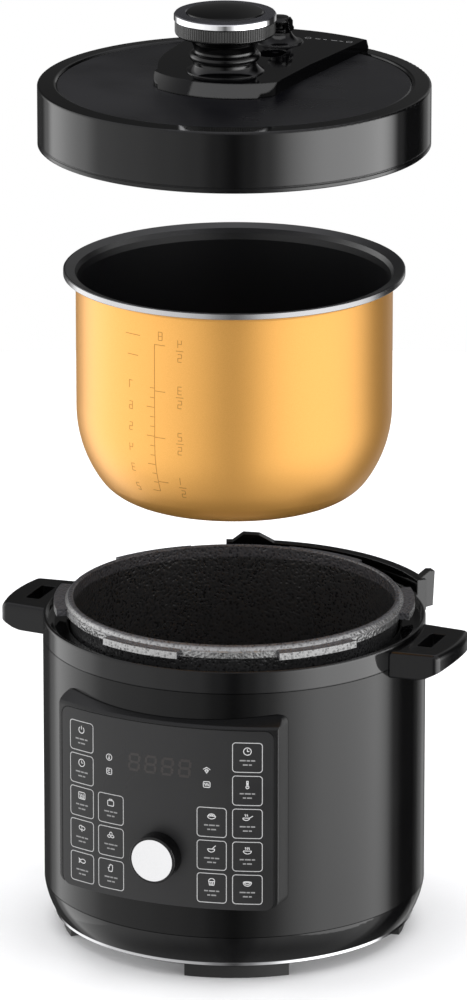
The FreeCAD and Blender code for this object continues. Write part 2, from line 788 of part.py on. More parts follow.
# ---------------------------------------------------------------- condensation cup and its rails
CUP_LOW = 176.0
cup_outer = rounded_block("cup_outer", 46.0, 17.2, 44.0, 0.0, 161.6, CUP_LOW, 4.0)
cup_inner = rounded_block("cup_inner", 42.0, 13.2, 44.0, 0.0, 161.6, CUP_LOW + 2.0, 2.4)
cup_wings = block("cup_wings", 54.0, 2.0, 30.0, 0.0, 154.4, CUP_LOW + 10.0)
cup_wing_void = block("cup_wing_void", 42.0, 4.0, 32.0, 0.0, 157.0, CUP_LOW + 9.0)
cup_wing_form = cut("cup_wing_form", cup_wings, [cup_wing_void])
parts["condensation_cup"] = fuse(
    "condensation_cup", [cut("cup_shell", cup_outer, [cup_inner]), cup_wing_form]
)
rails = []
for side in (-1.0, 1.0):
    arm = block("cup_rail_arm_%d" % (side + 2), 3.0, 18.0, 34.0, side * 29.0, 149.2, CUP_LOW + 10.0)
    lip = block("cup_rail_lip_%d" % (side + 2), 6.0, 2.4, 34.0, side * 27.5, 157.0, CUP_LOW + 10.0)
    stop = block("cup_rail_stop_%d" % (side + 2), 6.0, 8.0, 2.4, side * 27.5, 154.2, CUP_LOW + 41.6)
    rails.append(fuse("cup_rail_form_%d" % (side + 2), [arm, lip, stop]))
rail_drum = rod("rail_drum", dim("body_radius", 0.05), 60.0, z=170.0)
parts["cup_rails"] = cut("cup_rails", group("cup_rail_pair", rails), [rail_drum])

# ---------------------------------------------------------------- inner pot
WALL = DIMENSIONS["pot_wall"]
SWEEP = math.radians(35.0)
BEND = 95.0
BEND_LEVEL = 70.0
KNEE_X = DIMENSIONS["pot_radius"] - BEND * (1.0 - math.cos(SWEEP))
KNEE_Z = BEND_LEVEL - BEND * math.sin(SWEEP)
CORNER = KNEE_Z / (1.0 - math.sin(SWEEP))
FLAT_X = KNEE_X - CORNER * math.cos(SWEEP)
INNER_X = KNEE_X - WALL * math.cos(SWEEP)
INNER_Z = KNEE_Z + WALL * math.sin(SWEEP)
parts["inner_pot"] = turned(
    "inner_pot",
    [
        (0.0, 2.0),
        (18.0, 2.0),
        (20.0, 0.0),
        (FLAT_X, 0.0, CORNER, 1),
        (KNEE_X, KNEE_Z, BEND, 1),
        (dim("pot_radius"), BEND_LEVEL),
        (dim("pot_radius"), dim("pot_height", -9.0)),
        (dim("pot_radius", 1.4), dim("pot_height", -5.0)),
        (dim("pot_rim_radius", -0.6), dim("pot_height", -5.0)),
        (dim("pot_rim_radius"), dim("pot_height", -4.4)),
        (dim("pot_rim_radius"), dim("pot_height", -0.6)),
        (dim("pot_rim_radius", -0.6), dim("pot_height")),
        (dim("pot_rim_radius", -1.6), dim("pot_height")),
        (dim("pot_radius", 0.6), dim("pot_height", -2.4)),
        (dim("pot_radius", -1.2), dim("pot_height", -6.0)),
        (dim("pot_radius", -WALL), dim("pot_height", -11.0)),
        (dim("pot_radius", -WALL), BEND_LEVEL, BEND - WALL, -1),
        (INNER_X, INNER_Z, CORNER - WALL, -1),
        (FLAT_X, WALL),
        (24.0, WALL),
        (20.0, 4.0),
        (0.0, 4.0),
    ],
    z=POT_BASE,
)

# ---------------------------------------------------------------- sealing ring
parts["sealing_ring"] = turned(
    "sealing_ring",
    [
        (123.0, 19.8),
        (129.0, 19.8),
        (130.0, 21.5),
        (132.0, 23.0),
        (138.5, 23.0),
        (139.5, 24.0),
        (139.5, 28.8),
        (138.5, 29.8),
        (134.5, 29.8),
        (133.5, 27.0),
        (127.0, 25.4),
        (123.0, 23.5),
    ],
    z=LID_BASE,
)

# ---------------------------------------------------------------- lid: cover, disc, inner plate
cover_body = turned(
    "lid_cover_turned",
    [
        (0.0, dim("lid_height", -4.4)),
        (141.0, dim("lid_height", -4.4)),
        (dim("lid_radius", -2.5), dim("lid_height", -8.0)),
        (dim("lid_radius", -2.5), 0.6),
        (dim("lid_radius", -1.9), 0.0),
        (dim("lid_radius", -0.5), 0.0),
        (dim("lid_radius"), 0.5),
        (dim("lid_radius"), 3.0),
        (dim("lid_radius", -0.7), 3.4),
        (dim("lid_radius", -0.7), 4.2),
        (dim("lid_radius"), 4.6),
        (dim("lid_radius"), dim("lid_height", -1.6), 1.6, 1),
        (dim("lid_radius", -1.6), dim("lid_height")),
        (dim("disc_radius", 2.4), dim("lid_height", 0.8)),
        (dim("disc_radius", 1.4), dim("lid_height", 0.4)),
        (dim("disc_radius", 0.3), dim("lid_height", -0.8)),
        (dim("disc_radius", 0.3), dim("lid_height", -2.2)),
        (0.0, dim("lid_height", -2.2)),
    ],
    z=LID_BASE,
)
disc_body = turned(
    "lid_disc_turned",
    [
        (0.0, dim("lid_height", -2.1)),
        (dim("disc_radius"), dim("lid_height", -2.1)),
        (dim("disc_radius"), dim("lid_height", -1.3)),
        (dim("disc_radius", -1.0), dim("lid_height", -0.7)),
        (0.0, dim("lid_height", -0.7)),
    ],
    z=LID_BASE,
)


def lid_rod(name, radius, height, x, y, low):
    """A cylinder in the lid, its foot at a height above the lower edge of the lid."""
    base = (LID_BASE[0] + low, "%s + %.6g" % (LID_BASE[1], low))
    return rod(name, radius, height, x, y, base)


float_spot = (dim("float_x"), dim("float_y"))
valve_spot = (dim("valve_x"), dim("valve_y"))
grip_spot = (dim("grip_x"), dim("grip_y"))
lid_gaps = []
for name, radius, spot in (
    ("cover_float_gap", 3.4, float_spot),
    ("cover_valve_gap", 6.4, valve_spot),
    ("cover_grip_gap", 3.2, grip_spot),
):
    lid_gaps.append(lid_rod(name, radius, 12.0, spot[0], spot[1], 38.0))
parts["lid_cover"] = cut("lid_cover", cover_body, lid_gaps)
disc_gaps = []
for name, radius, spot in (
    ("disc_float_gap", 6.0, float_spot),
    ("disc_valve_gap", 6.4, valve_spot),
    ("disc_grip_gap", 3.2, grip_spot),
):
    disc_gaps.append(lid_rod(name, radius, 12.0, spot[0], spot[1], 38.0))
parts["lid_disc"] = cut("lid_disc", disc_body, disc_gaps)

plate_body = turned(
    "lid_plate_turned",
    [
        (0.0, 30.1),
        (141.5, 30.1),
        (141.5, 5.2),
        (141.5, 0.7),
        (144.0, 0.7),
        (144.0, 30.6),
        (142.5, 32.1),
        (0.0, 32.1),
    ],
    z=LID_BASE,
)
tabs = []
for index in range(LOBE_COUNT):
    tab = sector(
        "lid_tab_%d" % index,
        134.0,
        142.0,
        LID_BASE[0] + 0.7,
        LID_BASE[0] + 4.7,
        LOBE_CENTRE + 30.0 + index * 60.0 - 12.5,
        25.0,
    )
    tabs.append(tab)
plate_gaps = [
    lid_rod("plate_float_gap", 3.3, 12.0, float_spot[0], float_spot[1], 25.0),
    lid_rod("plate_valve_gap", 4.1, 12.0, valve_spot[0], valve_spot[1], 25.0),
    lid_rod("plate_screw_gap", 3.2, 12.0, grip_spot[0], grip_spot[1], 25.0),
]
parts["lid_plate"] = cut("lid_plate", fuse("lid_plate_solid", [plate_body] + tabs), plate_gaps)

# posts that hold the inner plate away from the cover
posts = []
for index in range(6):
    spot = around(20.0 + index * 60.0, 120.0)
    posts.append(lid_rod("lid_post_%d" % index, 5.0, 10.4, spot[0], spot[1], 32.15))
parts["lid_posts"] = group("lid_posts", posts)
lid_screws = []
for index in range(6):
    spot = around(50.0 + index * 60.0, 108.0)
    head = lid_rod("lid_screw_head_%d" % index, 3.6, 2.2, spot[0], spot[1], 27.9)
    lid_screws.append(head)
parts["lid_screws"] = group("lid_screws", lid_screws)

# wire rack that keeps the sealing ring round
rack = doc.addObject("Part::Torus", "seal_rack_wire")
rack.Radius1 = 115.5
rack.Radius2 = 1.4
place(rack, 0.0, 0.0, (LID_BASE[0] + 24.0, LID_BASE[1] + " + 24"))
clips = []
for index in range(6):
    spot = around(80.0 + index * 60.0, 115.5)
    clips.append(lid_rod("rack_clip_%d" % index, 1.8, 6.0, spot[0], spot[1], 24.1))
parts["seal_rack"] = fuse("seal_rack", [rack] + clips)

# ---------------------------------------------------------------- bar that houses the valves
crown = turned(
    "bar_crown",
    [
        (0.0, dim("lid_height", -0.65)),
        (dim("disc_radius", 0.2), dim("lid_height", -0.65)),
        (dim("disc_radius", 1.4), dim("lid_height", 0.5)),
        (dim("disc_radius", 2.4), dim("lid_height", 0.85)),
        (dim("lid_radius", -1.0), dim("lid_height", 0.1)),
        (dim("lid_radius", -1.2), dim("lid_height", 1.4)),
        (146.0, dim("lid_height", 7.5)),
        (143.0, dim("lid_height", 8.4)),
        (40.0, dim("lid_height", 9.5)),
        (0.0, dim("lid_height", 9.5)),
    ],
    z=LID_BASE,
)
NOSE_X = -7.0
NOSE_Y = 26.8
bar_plan = slab(
    "bar_plan",
    [
        (-57.0, -14.0),
        (43.0, -14.0),
        (46.0, 37.0),
        (50.0, 71.0),
        (56.0, 130.0),
        (59.0, 160.0),
        (-74.0, 160.0),
        (-71.0, 46.0, 150.0, 1),
    ],
    40.0,
    30.0,
    z=LID_BASE,
)
nose_cone = doc.addObject("Part::Cone", "nose_cone")
nose_cone.Radius1 = 83.0
nose_cone.Radius2 = 59.6
nose_cone.Height = 30.0
place(nose_cone, NOSE_X, NOSE_Y, (LID_BASE[0] + 38.0, LID_BASE[1] + " + 38"))
nose_plan = slab(
    "nose_plan",
    [
        (-57.0, -13.0),
        (-57.0, -18.0, 18.0, 1),
        (-49.0, -34.0),
        (-38.0, -60.0),
        (25.0, -60.0),
        (35.0, -34.0, 18.0, 1),
        (43.0, -18.0),
        (43.0, -13.0),
    ],
    38.0,
    30.0,
    z=LID_BASE,
)
nose = common("nose", [nose_plan, nose_cone])
bar_outline = fuse("bar_outline", [bar_plan, nose])
bar_solid = common("bar_solid", [bar_outline, crown])
bar_void_plan = slab(
    "bar_void_plan",
    [(-53.0, -12.0), (39.0, -12.0), (46.0, 71.0), (52.0, 134.0), (-69.0, 132.0), (-67.0, 46.0)],
    44.0,
    9.4,
    z=LID_BASE,
)
bar_void_gap = lid_rod("bar_void_gap", 9.0, 14.0, grip_spot[0], grip_spot[1], 42.0)
FLOAT_WELL_REACH = 4.4
bar_float_wall = rounded_block(
    "bar_float_wall",
    23.4,
    32.4,
    14.0,
    float_spot[0],
    float_spot[1],
    (LID_BASE[0] + 42.0, LID_BASE[1] + " + 42"),
    11.0,
)
bar_valve_wall = lid_rod("bar_valve_wall", 9.4, 14.0, valve_spot[0], valve_spot[1], 42.0)
bar_void = cut("bar_void", bar_void_plan, [bar_void_gap, bar_float_wall, bar_valve_wall])
float_well_ends = []
for side in (-1.0, 1.0):
    spot_y = (float_spot[1][0] + side * FLOAT_WELL_REACH, float_spot[1][1] + " + %g" % (side * FLOAT_WELL_REACH))
    end = lid_rod("float_well_end_%d" % (side + 2), 9.6, 20.0, float_spot[0], spot_y, 42.0)
    float_well_ends.append(end)
float_well_middle = block(
    "float_well_middle",
    19.2,
    2.0 * FLOAT_WELL_REACH,
    20.0,
    float_spot[0],
    float_spot[1],
    (LID_BASE[0] + 42.0, LID_BASE[1] + " + 42"),
)
bar_holes = float_well_ends + [
    float_well_middle,
    lid_rod("bar_valve_hole", 6.4, 26.0, valve_spot[0], valve_spot[1], 42.0),
    lid_rod("bar_grip_hole", 3.2, 20.0, grip_spot[0], grip_spot[1], 42.0),
]
valve_seat = turned(
    "valve_seat",
    [
        (0.0, 52.0),
        (18.5, 52.0),
        (18.5, 56.9),
        (17.4, 57.3, 12.0, -1),
        (10.2, 62.6),
        (9.6, 64.2),
        (9.0, 64.6),
        (0.0, 64.6),
    ],
    valve_spot[0],
    valve_spot[1],
    LID_BASE,
)
bar_with_seat = fuse("bar_with_seat", [bar_solid, valve_seat])
parts["lid_bar"] = cut("lid_bar", bar_with_seat, [bar_void] + bar_holes)

# ---------------------------------------------------------------- grip on the lid
parts["lid_grip"] = turned(
    "lid_grip",
    [
        (3.2, 56.6),
        (30.0, 56.6),
        (29.6, 57.4, 14.0, -1),
        (24.4, 62.4),
        (24.2, 65.0),
        (25.8, 65.8, 3.4, 1),
        (25.8, 71.4),
        (23.8, 72.2),
        (23.6, 74.0, 13.0, -1),
        (33.4, 84.6),
        (37.0, 85.4),
        (38.0, 86.6),
        (38.0, 96.4),
        (30.0, 96.4),
        (30.0, 90.0),
        (19.0, 84.0),
        (19.0, 60.6),
        (3.2, 60.6),
    ],
    grip_spot[0],
    grip_spot[1],
    LID_BASE,
)
parts["grip_chrome_ring"] = turned(
    "grip_chrome_ring",
    [
        (36.5, 96.5),
        (38.6, 96.5),
        (39.0, 97.0),
        (39.0, 100.6),
        (38.6, 101.2),
        (36.5, 101.2),
    ],
    grip_spot[0],
    grip_spot[1],
    LID_BASE,
)
parts["grip_bezel"] = turned(
    "grip_bezel",
    [
        (27.0, 96.5),
        (36.4, 96.5),
        (36.4, 101.3),
        (38.5, 101.3),
        (38.0, 102.0),
        (30.4, 102.4),
        (29.6, 101.8),
        (29.6, 98.9),
        (27.0, 98.9),
    ],
    grip_spot[0],
    grip_spot[1],
    LID_BASE,
)
parts["grip_dome"] = turned(
    "grip_dome",
    [
        (0.0, 99.0),
        (29.4, 99.0),
        (29.4, 102.2),
        (28.6, 103.0, 150.0, 1),
        (4.0, 105.4),
        (0.0, 105.4),
    ],
    grip_spot[0],
    grip_spot[1],
    LID_BASE,
)
grip_head = lid_rod("grip_screw_head", 6.0, 3.0, grip_spot[0], grip_spot[1], 27.0)
grip_shank = lid_rod("grip_screw_shank", 3.0, 36.0, grip_spot[0], grip_spot[1], 29.9)
grip_nut = lid_rod("grip_screw_nut", 6.0, 4.0, grip_spot[0], grip_spot[1], 60.8)
parts["grip_screw"] = fuse("grip_screw", [grip_head, grip_shank, grip_nut])

# ---------------------------------------------------------------- steam valve on its vent pipe
pipe = turned(
    "vent_pipe",
    [
        (1.6, 24.0),
        (7.0, 24.0),
        (7.0, 30.0),
        (4.0, 30.0),
        (4.0, 60.0),
        (3.0, 62.0),
        (1.6, 62.0),
    ],
    valve_spot[0],
    valve_spot[1],
    LID_BASE,
)
parts["vent_pipe"] = pipe
valve_core = turned(
    "steam_valve_core",
    [
        (4.4, 55.9),
        (6.0, 55.9),
        (6.0, 65.2),
        (8.4, 65.2),
        (8.8, 66.4),
        (6.2, 68.0),
        (6.2, 70.0),
        (8.8, 71.2),
        (9.2, 73.2),
        (7.4, 75.8),
        (0.0, 76.4),
        (0.0, 62.6),
        (4.4, 62.6),
    ],
    valve_spot[0],
    valve_spot[1],
    LID_BASE,
)
lever_body = doc.addObject("PartDesign::Body", "valve_lever_body")
lever_sketch = new_sketch(lever_body, "valve_lever_outline", "XZ_Plane")
draw_loop(
    lever_sketch,
    [
        (0.0, 71.5),
        (5.2, 71.5),
        (6.4, 70.0),
        (6.4, 66.6),
        (8.0, 65.4),
        (10.6, 65.4),
        (10.8, 67.4),
        (9.8, 69.0),
        (9.8, 72.6),
        (8.0, 75.2),
        (0.0, 75.8),
    ],
)
lever_pad = lever_body.newObject("PartDesign::Pad", "valve_lever_pad")
lever_pad.Profile = lever_sketch
lever_pad.Length = 9.0
lever_pad.Midplane = True
place(lever_body, valve_spot[0], valve_spot[1], LID_BASE)
valve_whole = fuse("steam_valve_whole", [valve_core, lever_body])
valve_bore = lid_rod("steam_valve_bore", 4.4, 8.0, valve_spot[0], valve_spot[1], 54.6)
parts["steam_valve"] = cut("steam_valve", valve_whole, [valve_bore])
parts["vent_guard"] = turned(
    "vent_guard",
    [
        (8.0, 22.0),
        (9.5, 22.0),
        (9.5, 30.1),
        (8.0, 30.1),
    ],
    valve_spot[0],
    valve_spot[1],
    LID_BASE,
)

# ---------------------------------------------------------------- float valve
parts["float_pin"] = turned(
    "float_pin",
    [
        (0.0, 22.0),
        (3.0, 22.0),
        (3.0, 45.5),
        (4.6, 46.2),
        (4.6, 50.4),
        (4.0, 51.0),
        (0.0, 51.0),
    ],
    float_spot[0],
    float_spot[1],
    LID_BASE,
)
parts["float_cap"] = turned(
    "float_cap",
    [
        (3.05, 22.4),
        (5.6, 22.4),
        (6.2, 23.4),
        (6.2, 24.6),
        (4.8, 25.6),
        (3.05, 25.8),
    ],
    float_spot[0],
    float_spot[1],
    LID_BASE,
)

# ---------------------------------------------------------------- recompute, check and export
doc.recompute()
for item in doc.Objects:
    if "Invalid" in item.State or "Error" in item.State:
        raise RuntimeError("%s did not compute: %s" % (item.Name, item.State))
for node in parts:
    item = parts[node]
    item.Label = node
    if item.Label != node:
        raise RuntimeError("another object already has the name %s" % node)
    shape = item.Shape
    if shape.isNull():
        raise RuntimeError("%s has no shape" % node)
    if not shape.isValid():
        raise RuntimeError("%s is not a valid shape" % node)
    shape.exportStep("parts/%s.step" % node)
    volume = shape.Volume / 1000.0
    print("%-18s solids %2d  %8.2f cm3" % (node, len(shape.Solids), volume))
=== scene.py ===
import math

import bmesh
import bpy
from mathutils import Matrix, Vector
from mathutils.bvhtree import BVHTree


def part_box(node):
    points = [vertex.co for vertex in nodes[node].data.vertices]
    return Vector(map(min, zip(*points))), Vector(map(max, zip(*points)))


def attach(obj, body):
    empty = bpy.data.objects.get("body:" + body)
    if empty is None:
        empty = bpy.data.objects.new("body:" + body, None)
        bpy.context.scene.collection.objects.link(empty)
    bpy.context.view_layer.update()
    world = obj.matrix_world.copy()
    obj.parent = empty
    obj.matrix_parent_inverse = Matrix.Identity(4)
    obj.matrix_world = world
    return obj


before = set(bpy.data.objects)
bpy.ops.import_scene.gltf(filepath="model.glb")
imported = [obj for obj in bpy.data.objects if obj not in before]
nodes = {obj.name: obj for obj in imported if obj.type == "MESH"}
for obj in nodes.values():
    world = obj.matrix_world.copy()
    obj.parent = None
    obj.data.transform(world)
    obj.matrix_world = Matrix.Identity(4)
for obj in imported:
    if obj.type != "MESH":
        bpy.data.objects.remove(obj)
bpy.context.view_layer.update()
scene = bpy.context.scene
MM = 0.001

# ---------------------------------------------------------------- camera

CAMERA_SIDE = math.radians(21.7)
CAMERA_RISE = math.radians(17.3)
CAMERA_RANGE = 6.2
CAMERA_LENS = 289.1
CAMERA_SHIFT = -0.0008
AIM_LEVEL = 0.3432
aim = Vector((0.0, 0.0, AIM_LEVEL))
back_off = Vector((
    math.sin(CAMERA_SIDE) * math.cos(CAMERA_RISE),
    -math.cos(CAMERA_SIDE) * math.cos(CAMERA_RISE),
    math.sin(CAMERA_RISE),
))
camera_data = bpy.data.cameras.new("camera")
camera_data.lens = CAMERA_LENS
camera_data.sensor_width = 36.0
camera_data.clip_end = 60.0
camera_data.shift_x = CAMERA_SHIFT
camera = bpy.data.objects.new("camera", camera_data)
camera.location = aim + back_off * CAMERA_RANGE
camera.rotation_euler = (-back_off).to_track_quat("-Z", "Y").to_euler()
scene.collection.objects.link(camera)
scene.camera = camera
scene.view_settings.view_transform = "Standard"

# ---------------------------------------------------------------- node helpers


class Graph:
    """A short way to add nodes to a material or world."""

    def __init__(self, tree):
        self.tree = tree
        self.tree.nodes.clear()

    def add(self, kind, **values):
        node = self.tree.nodes.new(kind)
        for key, value in values.items():
            setattr(node, key, value)
        return node

    def link(self, source, target):
        self.tree.links.new(source, target)

    def put(self, socket, value):
        if isinstance(value, bpy.types.NodeSocket):
            self.link(value, socket)
        else:
            socket.default_value = value

    def math(self, operation, first, second=0.0, third=0.0):
        node = self.add("ShaderNodeMath", operation=operation)
        self.put(node.inputs[0], first)
        self.put(node.inputs[1], second)
        self.put(node.inputs[2], third)
        return node.outputs[0]

    def axes(self, vector):
        """The x, y and z of a vector, as outputs named X, Y and Z."""
        node = self.add("ShaderNodeSeparateXYZ")
        self.link(vector, node.inputs[0])
        return node.outputs

    def noise(self, vector, scale, detail=None):
        node = self.add("ShaderNodeTexNoise")
        self.link(vector, node.inputs["Vector"])
        node.inputs["Scale"].default_value = scale
        if detail is not None:
            node.inputs["Detail"].default_value = detail
        return node.outputs["Fac"]

    def round_axis(self, spot):
        """Distance from the upright axis, how far the surface faces away from it, and its x, y, z."""
        place, facing = self.axes(spot), self.axes(self.add("ShaderNodeTexCoord").outputs["Normal"])
        flat = self.math("SQRT", self.math("ADD", self.math("POWER", place["X"], 2.0),
                                           self.math("POWER", place["Y"], 2.0)))
        along = self.math("ADD", self.math("MULTIPLY", place["X"], facing["X"]),
                          self.math("MULTIPLY", place["Y"], facing["Y"]))
        outward = self.math("DIVIDE", along, self.math("MAXIMUM", flat, 0.001))
        return flat, outward, place["Z"], facing["Z"]

    def spread(self, value, low, high, to_low=0.0, to_high=1.0):
        """A soft step from one value to another."""
        node = self.add("ShaderNodeMapRange", interpolation_type="SMOOTHSTEP")
        self.put(node.inputs["Value"], value)
        node.inputs["From Min"].default_value = low
        node.inputs["From Max"].default_value = high
        node.inputs["To Min"].default_value = to_low
        node.inputs["To Max"].default_value = to_high
        return node.outputs["Result"]

    def mix(self, factor, first, second):
        node = self.add("ShaderNodeMix", data_type="RGBA")
        self.put(node.inputs["Factor"], factor)
        self.put(node.inputs["A"], first if isinstance(first, bpy.types.NodeSocket) else (*first, 1.0))
        self.put(node.inputs["B"], second if isinstance(second, bpy.types.NodeSocket) else (*second, 1.0))
        return node.outputs["Result"]

    def ramp(self, factor, stops):
        """Greys by place from 0 to 1, eased from each one to the next."""
        node = self.add("ShaderNodeValToRGB")
        node.color_ramp.interpolation = "EASE"
        elements = node.color_ramp.elements
        while len(elements) < len(stops):
            elements.new(0.5)
        for element, (place, shade) in zip(elements, stops):
            element.position = place
            element.color = (shade, shade, shade, 1.0)
        self.put(node.inputs["Fac"], factor)
        return node.outputs["Color"]


# ---------------------------------------------------------------- studio

# Brightness of the soft boxes by angle round the camera's side: two broad boxes with a gap between them.
SIDE_LIGHT = [
    (-180, 0.07), (-168, 0.05), (-152, 0.09), (-142, 0.55), (-132, 1.66), (-118, 1.66),
    (-90, 1.38), (-60, 1.26), (-40, 1.06), (-22, 0.84), (-11, 0.42), (0, 0.14),
    (9, 0.40), (20, 1.00), (34, 1.38), (60, 1.50), (90, 1.44), (104, 1.10),
    (113, 0.30), (122, 0.03), (140, 0.02), (151, 0.28), (160, 0.50), (170, 0.16), (180, 0.07),
]
FULL_LIGHT = 2.0
OVERHEAD_RISE = (0.50, 0.86)
OVERHEAD_SHADE = (0.46, 0.46, 0.48)
BELOW_RISE = (-0.52, -0.86)
BELOW_SHADE = (0.12, 0.12, 0.12)
BELOW_SHARE = 0.75

world = bpy.data.worlds.new("studio")
scene.world = world
world.use_nodes = True
g = Graph(world.node_tree)
where = g.add("ShaderNodeTexCoord")
turn = g.add("ShaderNodeVectorRotate", rotation_type="Z_AXIS")
g.link(where.outputs["Generated"], turn.inputs["Vector"])
turn.inputs["Angle"].default_value = -CAMERA_SIDE
look = g.axes(turn.outputs["Vector"])
around = g.math("ARCTAN2", look["X"], g.math("MULTIPLY", look["Y"], -1.0))
lap = g.math("MULTIPLY_ADD", around, 1.0 / (2.0 * math.pi), 0.5)
sides = g.ramp(lap, [((a + 180.0) / 360.0, v / FULL_LIGHT) for a, v in SIDE_LIGHT])
overhead = g.spread(look["Z"], *OVERHEAD_RISE)
lit = g.mix(overhead, sides, OVERHEAD_SHADE)
below = g.spread(look["Z"], *BELOW_RISE)
shade = g.mix(g.math("MULTIPLY", below, BELOW_SHARE), lit, BELOW_SHADE)
soft = g.add("ShaderNodeBackground")
g.link(shade, soft.inputs["Color"])
soft.inputs["Strength"].default_value = FULL_LIGHT
plain = g.add("ShaderNodeBackground")
plain.inputs["Color"].default_value = (1.0, 1.0, 1.0, 1.0)
seen = g.add("ShaderNodeLightPath")
either = g.add("ShaderNodeMixShader")
g.link(seen.outputs["Is Camera Ray"], either.inputs["Fac"])
g.link(soft.outputs[0], either.inputs[1])
g.link(plain.outputs[0], either.inputs[2])
out = g.add("ShaderNodeOutputWorld")
g.link(either.outputs[0], out.inputs["Surface"])

FLOOR_RADIUS = 1.6
floor_mesh = bpy.data.meshes.new("floor")
floor_form = bmesh.new()
bmesh.ops.create_circle(floor_form, cap_ends=True, segments=96, radius=FLOOR_RADIUS)
floor_form.to_mesh(floor_mesh)
floor_form.free()
floor = bpy.data.objects.new("floor", floor_mesh)
scene.collection.objects.link(floor)
floor.visible_glossy = False
floor.visible_shadow = False


def linked_light(name, kind, energy, place, aim_at, only, **values):
    """A light that reaches only the objects given, and is not seen itself."""
    data = bpy.data.lights.new(name, kind)
    data.energy = energy
    for key, value in values.items():
        setattr(data, key, value)
    lamp = bpy.data.objects.new(name, data)
    lamp.location = place
    lamp.rotation_euler = (Vector(aim_at) - Vector(place)).to_track_quat("-Z", "Y").to_euler()
    scene.collection.objects.link(lamp)
    lamp.visible_camera = False
    reached = bpy.data.collections.new(name + "_reach")
    for item in only:
        reached.objects.link(item)
    lamp.light_linking.receiver_collection = reached
    return lamp


FLOOR_LIGHT = 2.35
linked_light("floor_light", "SUN", FLOOR_LIGHT, (0.0, 0.3, 3.0), (0.0, 0.0, 0.0), [floor],
             angle=math.radians(70))

SOFT_BOX_RANGE = 1.6


def soft_box(name, start, end, low, high, level, only):
    """A flat soft box beside the object, between two angles from the camera's side.
    It fades at its edges and reaches only the objects given."""
    middle = math.radians((start + end) / 2.0) + CAMERA_SIDE
    half = math.radians((end - start) / 2.0)
    height = (low + high) / 2.0
    place = (SOFT_BOX_RANGE * math.sin(middle), -SOFT_BOX_RANGE * math.cos(middle), height)
    wide, tall = 2.0 * SOFT_BOX_RANGE * math.tan(half), high - low
    lamp = linked_light(name, "AREA", level * math.pi * wide * tall, place, (0.0, 0.0, height), only,
                        shape="RECTANGLE", size=wide, size_y=tall, use_nodes=True)
    lamp.visible_diffuse = False
    g = Graph(lamp.data.node_tree)
    glow = g.add("ShaderNodeEmission")
    end_node = g.add("ShaderNodeOutputLight")
    g.link(glow.outputs[0], end_node.inputs["Surface"])
    place_on = g.axes(g.add("ShaderNodeNewGeometry").outputs["Parametric"])
    rise = g.spread(place_on["X"], 0.0, 0.42)
    fall = g.spread(place_on["X"], 0.97, 0.72)
    foot = g.spread(place_on["Y"], 0.1, 0.75, 0.42, 1.0)
    g.link(g.math("MULTIPLY", g.math("MULTIPLY", rise, fall), foot), glow.inputs["Strength"])


DULL = ("inner_pot", "outer_pot", "panel_face", "control_knob_cap", "lid_disc", "sealing_ring")
shiny = [item for name, item in nodes.items() if name not in DULL]
soft_box("right_box", 18, 111, -1.1, 0.9, 5.6, shiny)
soft_box("left_box", -139, -80, -1.1, 1.1, 1.1, shiny)

LID_LEVEL = 0.7
HIGH_BOX_OUT = 0.728
HIGH_BOX_UP = 1.19
HIGH_BOX_WIDE = 2.8
HIGH_BOX_TALL = 1.0
HIGH_BOX_LEVEL = 4.2
linked_light("high_box", "AREA", HIGH_BOX_LEVEL * math.pi * HIGH_BOX_WIDE * HIGH_BOX_TALL,
             (HIGH_BOX_OUT * math.sin(CAMERA_SIDE), -HIGH_BOX_OUT * math.cos(CAMERA_SIDE),
              LID_LEVEL + HIGH_BOX_UP),
             (0.0, 0.0, LID_LEVEL), [nodes["lid_bar"]],
             shape="RECTANGLE", size=HIGH_BOX_WIDE, size_y=HIGH_BOX_TALL)

# ---------------------------------------------------------------- materials

CLOUD_SCALE = 14.0


def material(name, colour, rough, metal=0.0, level=0.5, grain=900.0, bump=0.0, vary=0.12,
             rough_vary=0.15, tint=None, coat=0.0, coat_rough=0.05, edge=0.0, build=None):
    """A finish with fine variation of its colour, roughness and surface.
    Bump and edge are in millimetres: the height of the grain, and the radius that sharp edges show."""
    mat = bpy.data.materials.new(name)
    mat.use_nodes = True
    g = Graph(mat.node_tree)
    shader = g.add("ShaderNodeBsdfPrincipled")
    result = g.add("ShaderNodeOutputMaterial")
    g.link(shader.outputs[0], result.inputs["Surface"])
    shader.inputs["Metallic"].default_value = metal
    shader.inputs["Specular IOR Level"].default_value = level
    shader.inputs["Coat Weight"].default_value = coat
    shader.inputs["Coat Roughness"].default_value = coat_rough
    spot = g.add("ShaderNodeTexCoord").outputs["Object"]
    cloud = g.noise(spot, CLOUD_SCALE, 3.0)
    fine = g.noise(spot, grain, 2.0)
    dark = tuple(c * (1.0 - vary) for c in colour)
    light = tint or tuple(min(c * (1.0 + vary), 1.0) for c in colour)
    both = g.math("MULTIPLY_ADD", fine, 0.4, g.math("MULTIPLY", cloud, 0.6))
    base = g.mix(g.spread(both, 0.32, 0.68), dark, light)
    g.link(base, shader.inputs["Base Color"])
    sheen = g.spread(cloud, 0.3, 0.7, rough * (1.0 - rough_vary), rough * (1.0 + rough_vary))
    g.link(sheen, shader.inputs["Roughness"])
    if bump > 0.0:
        lump = g.add("ShaderNodeBump")
        lump.inputs["Strength"].default_value = 1.0
        lump.inputs["Distance"].default_value = bump * MM
        g.link(fine, lump.inputs["Height"])
        g.link(lump.outputs[0], shader.inputs["Normal"])
        if edge > 0.0:
            soft_edge = g.add("ShaderNodeBevel")
            soft_edge.samples = 4
            soft_edge.inputs["Radius"].default_value = edge * MM
            g.link(soft_edge.outputs[0], lump.inputs["Normal"])
    if build:
        build(g, shader, spot, base)
    return mat


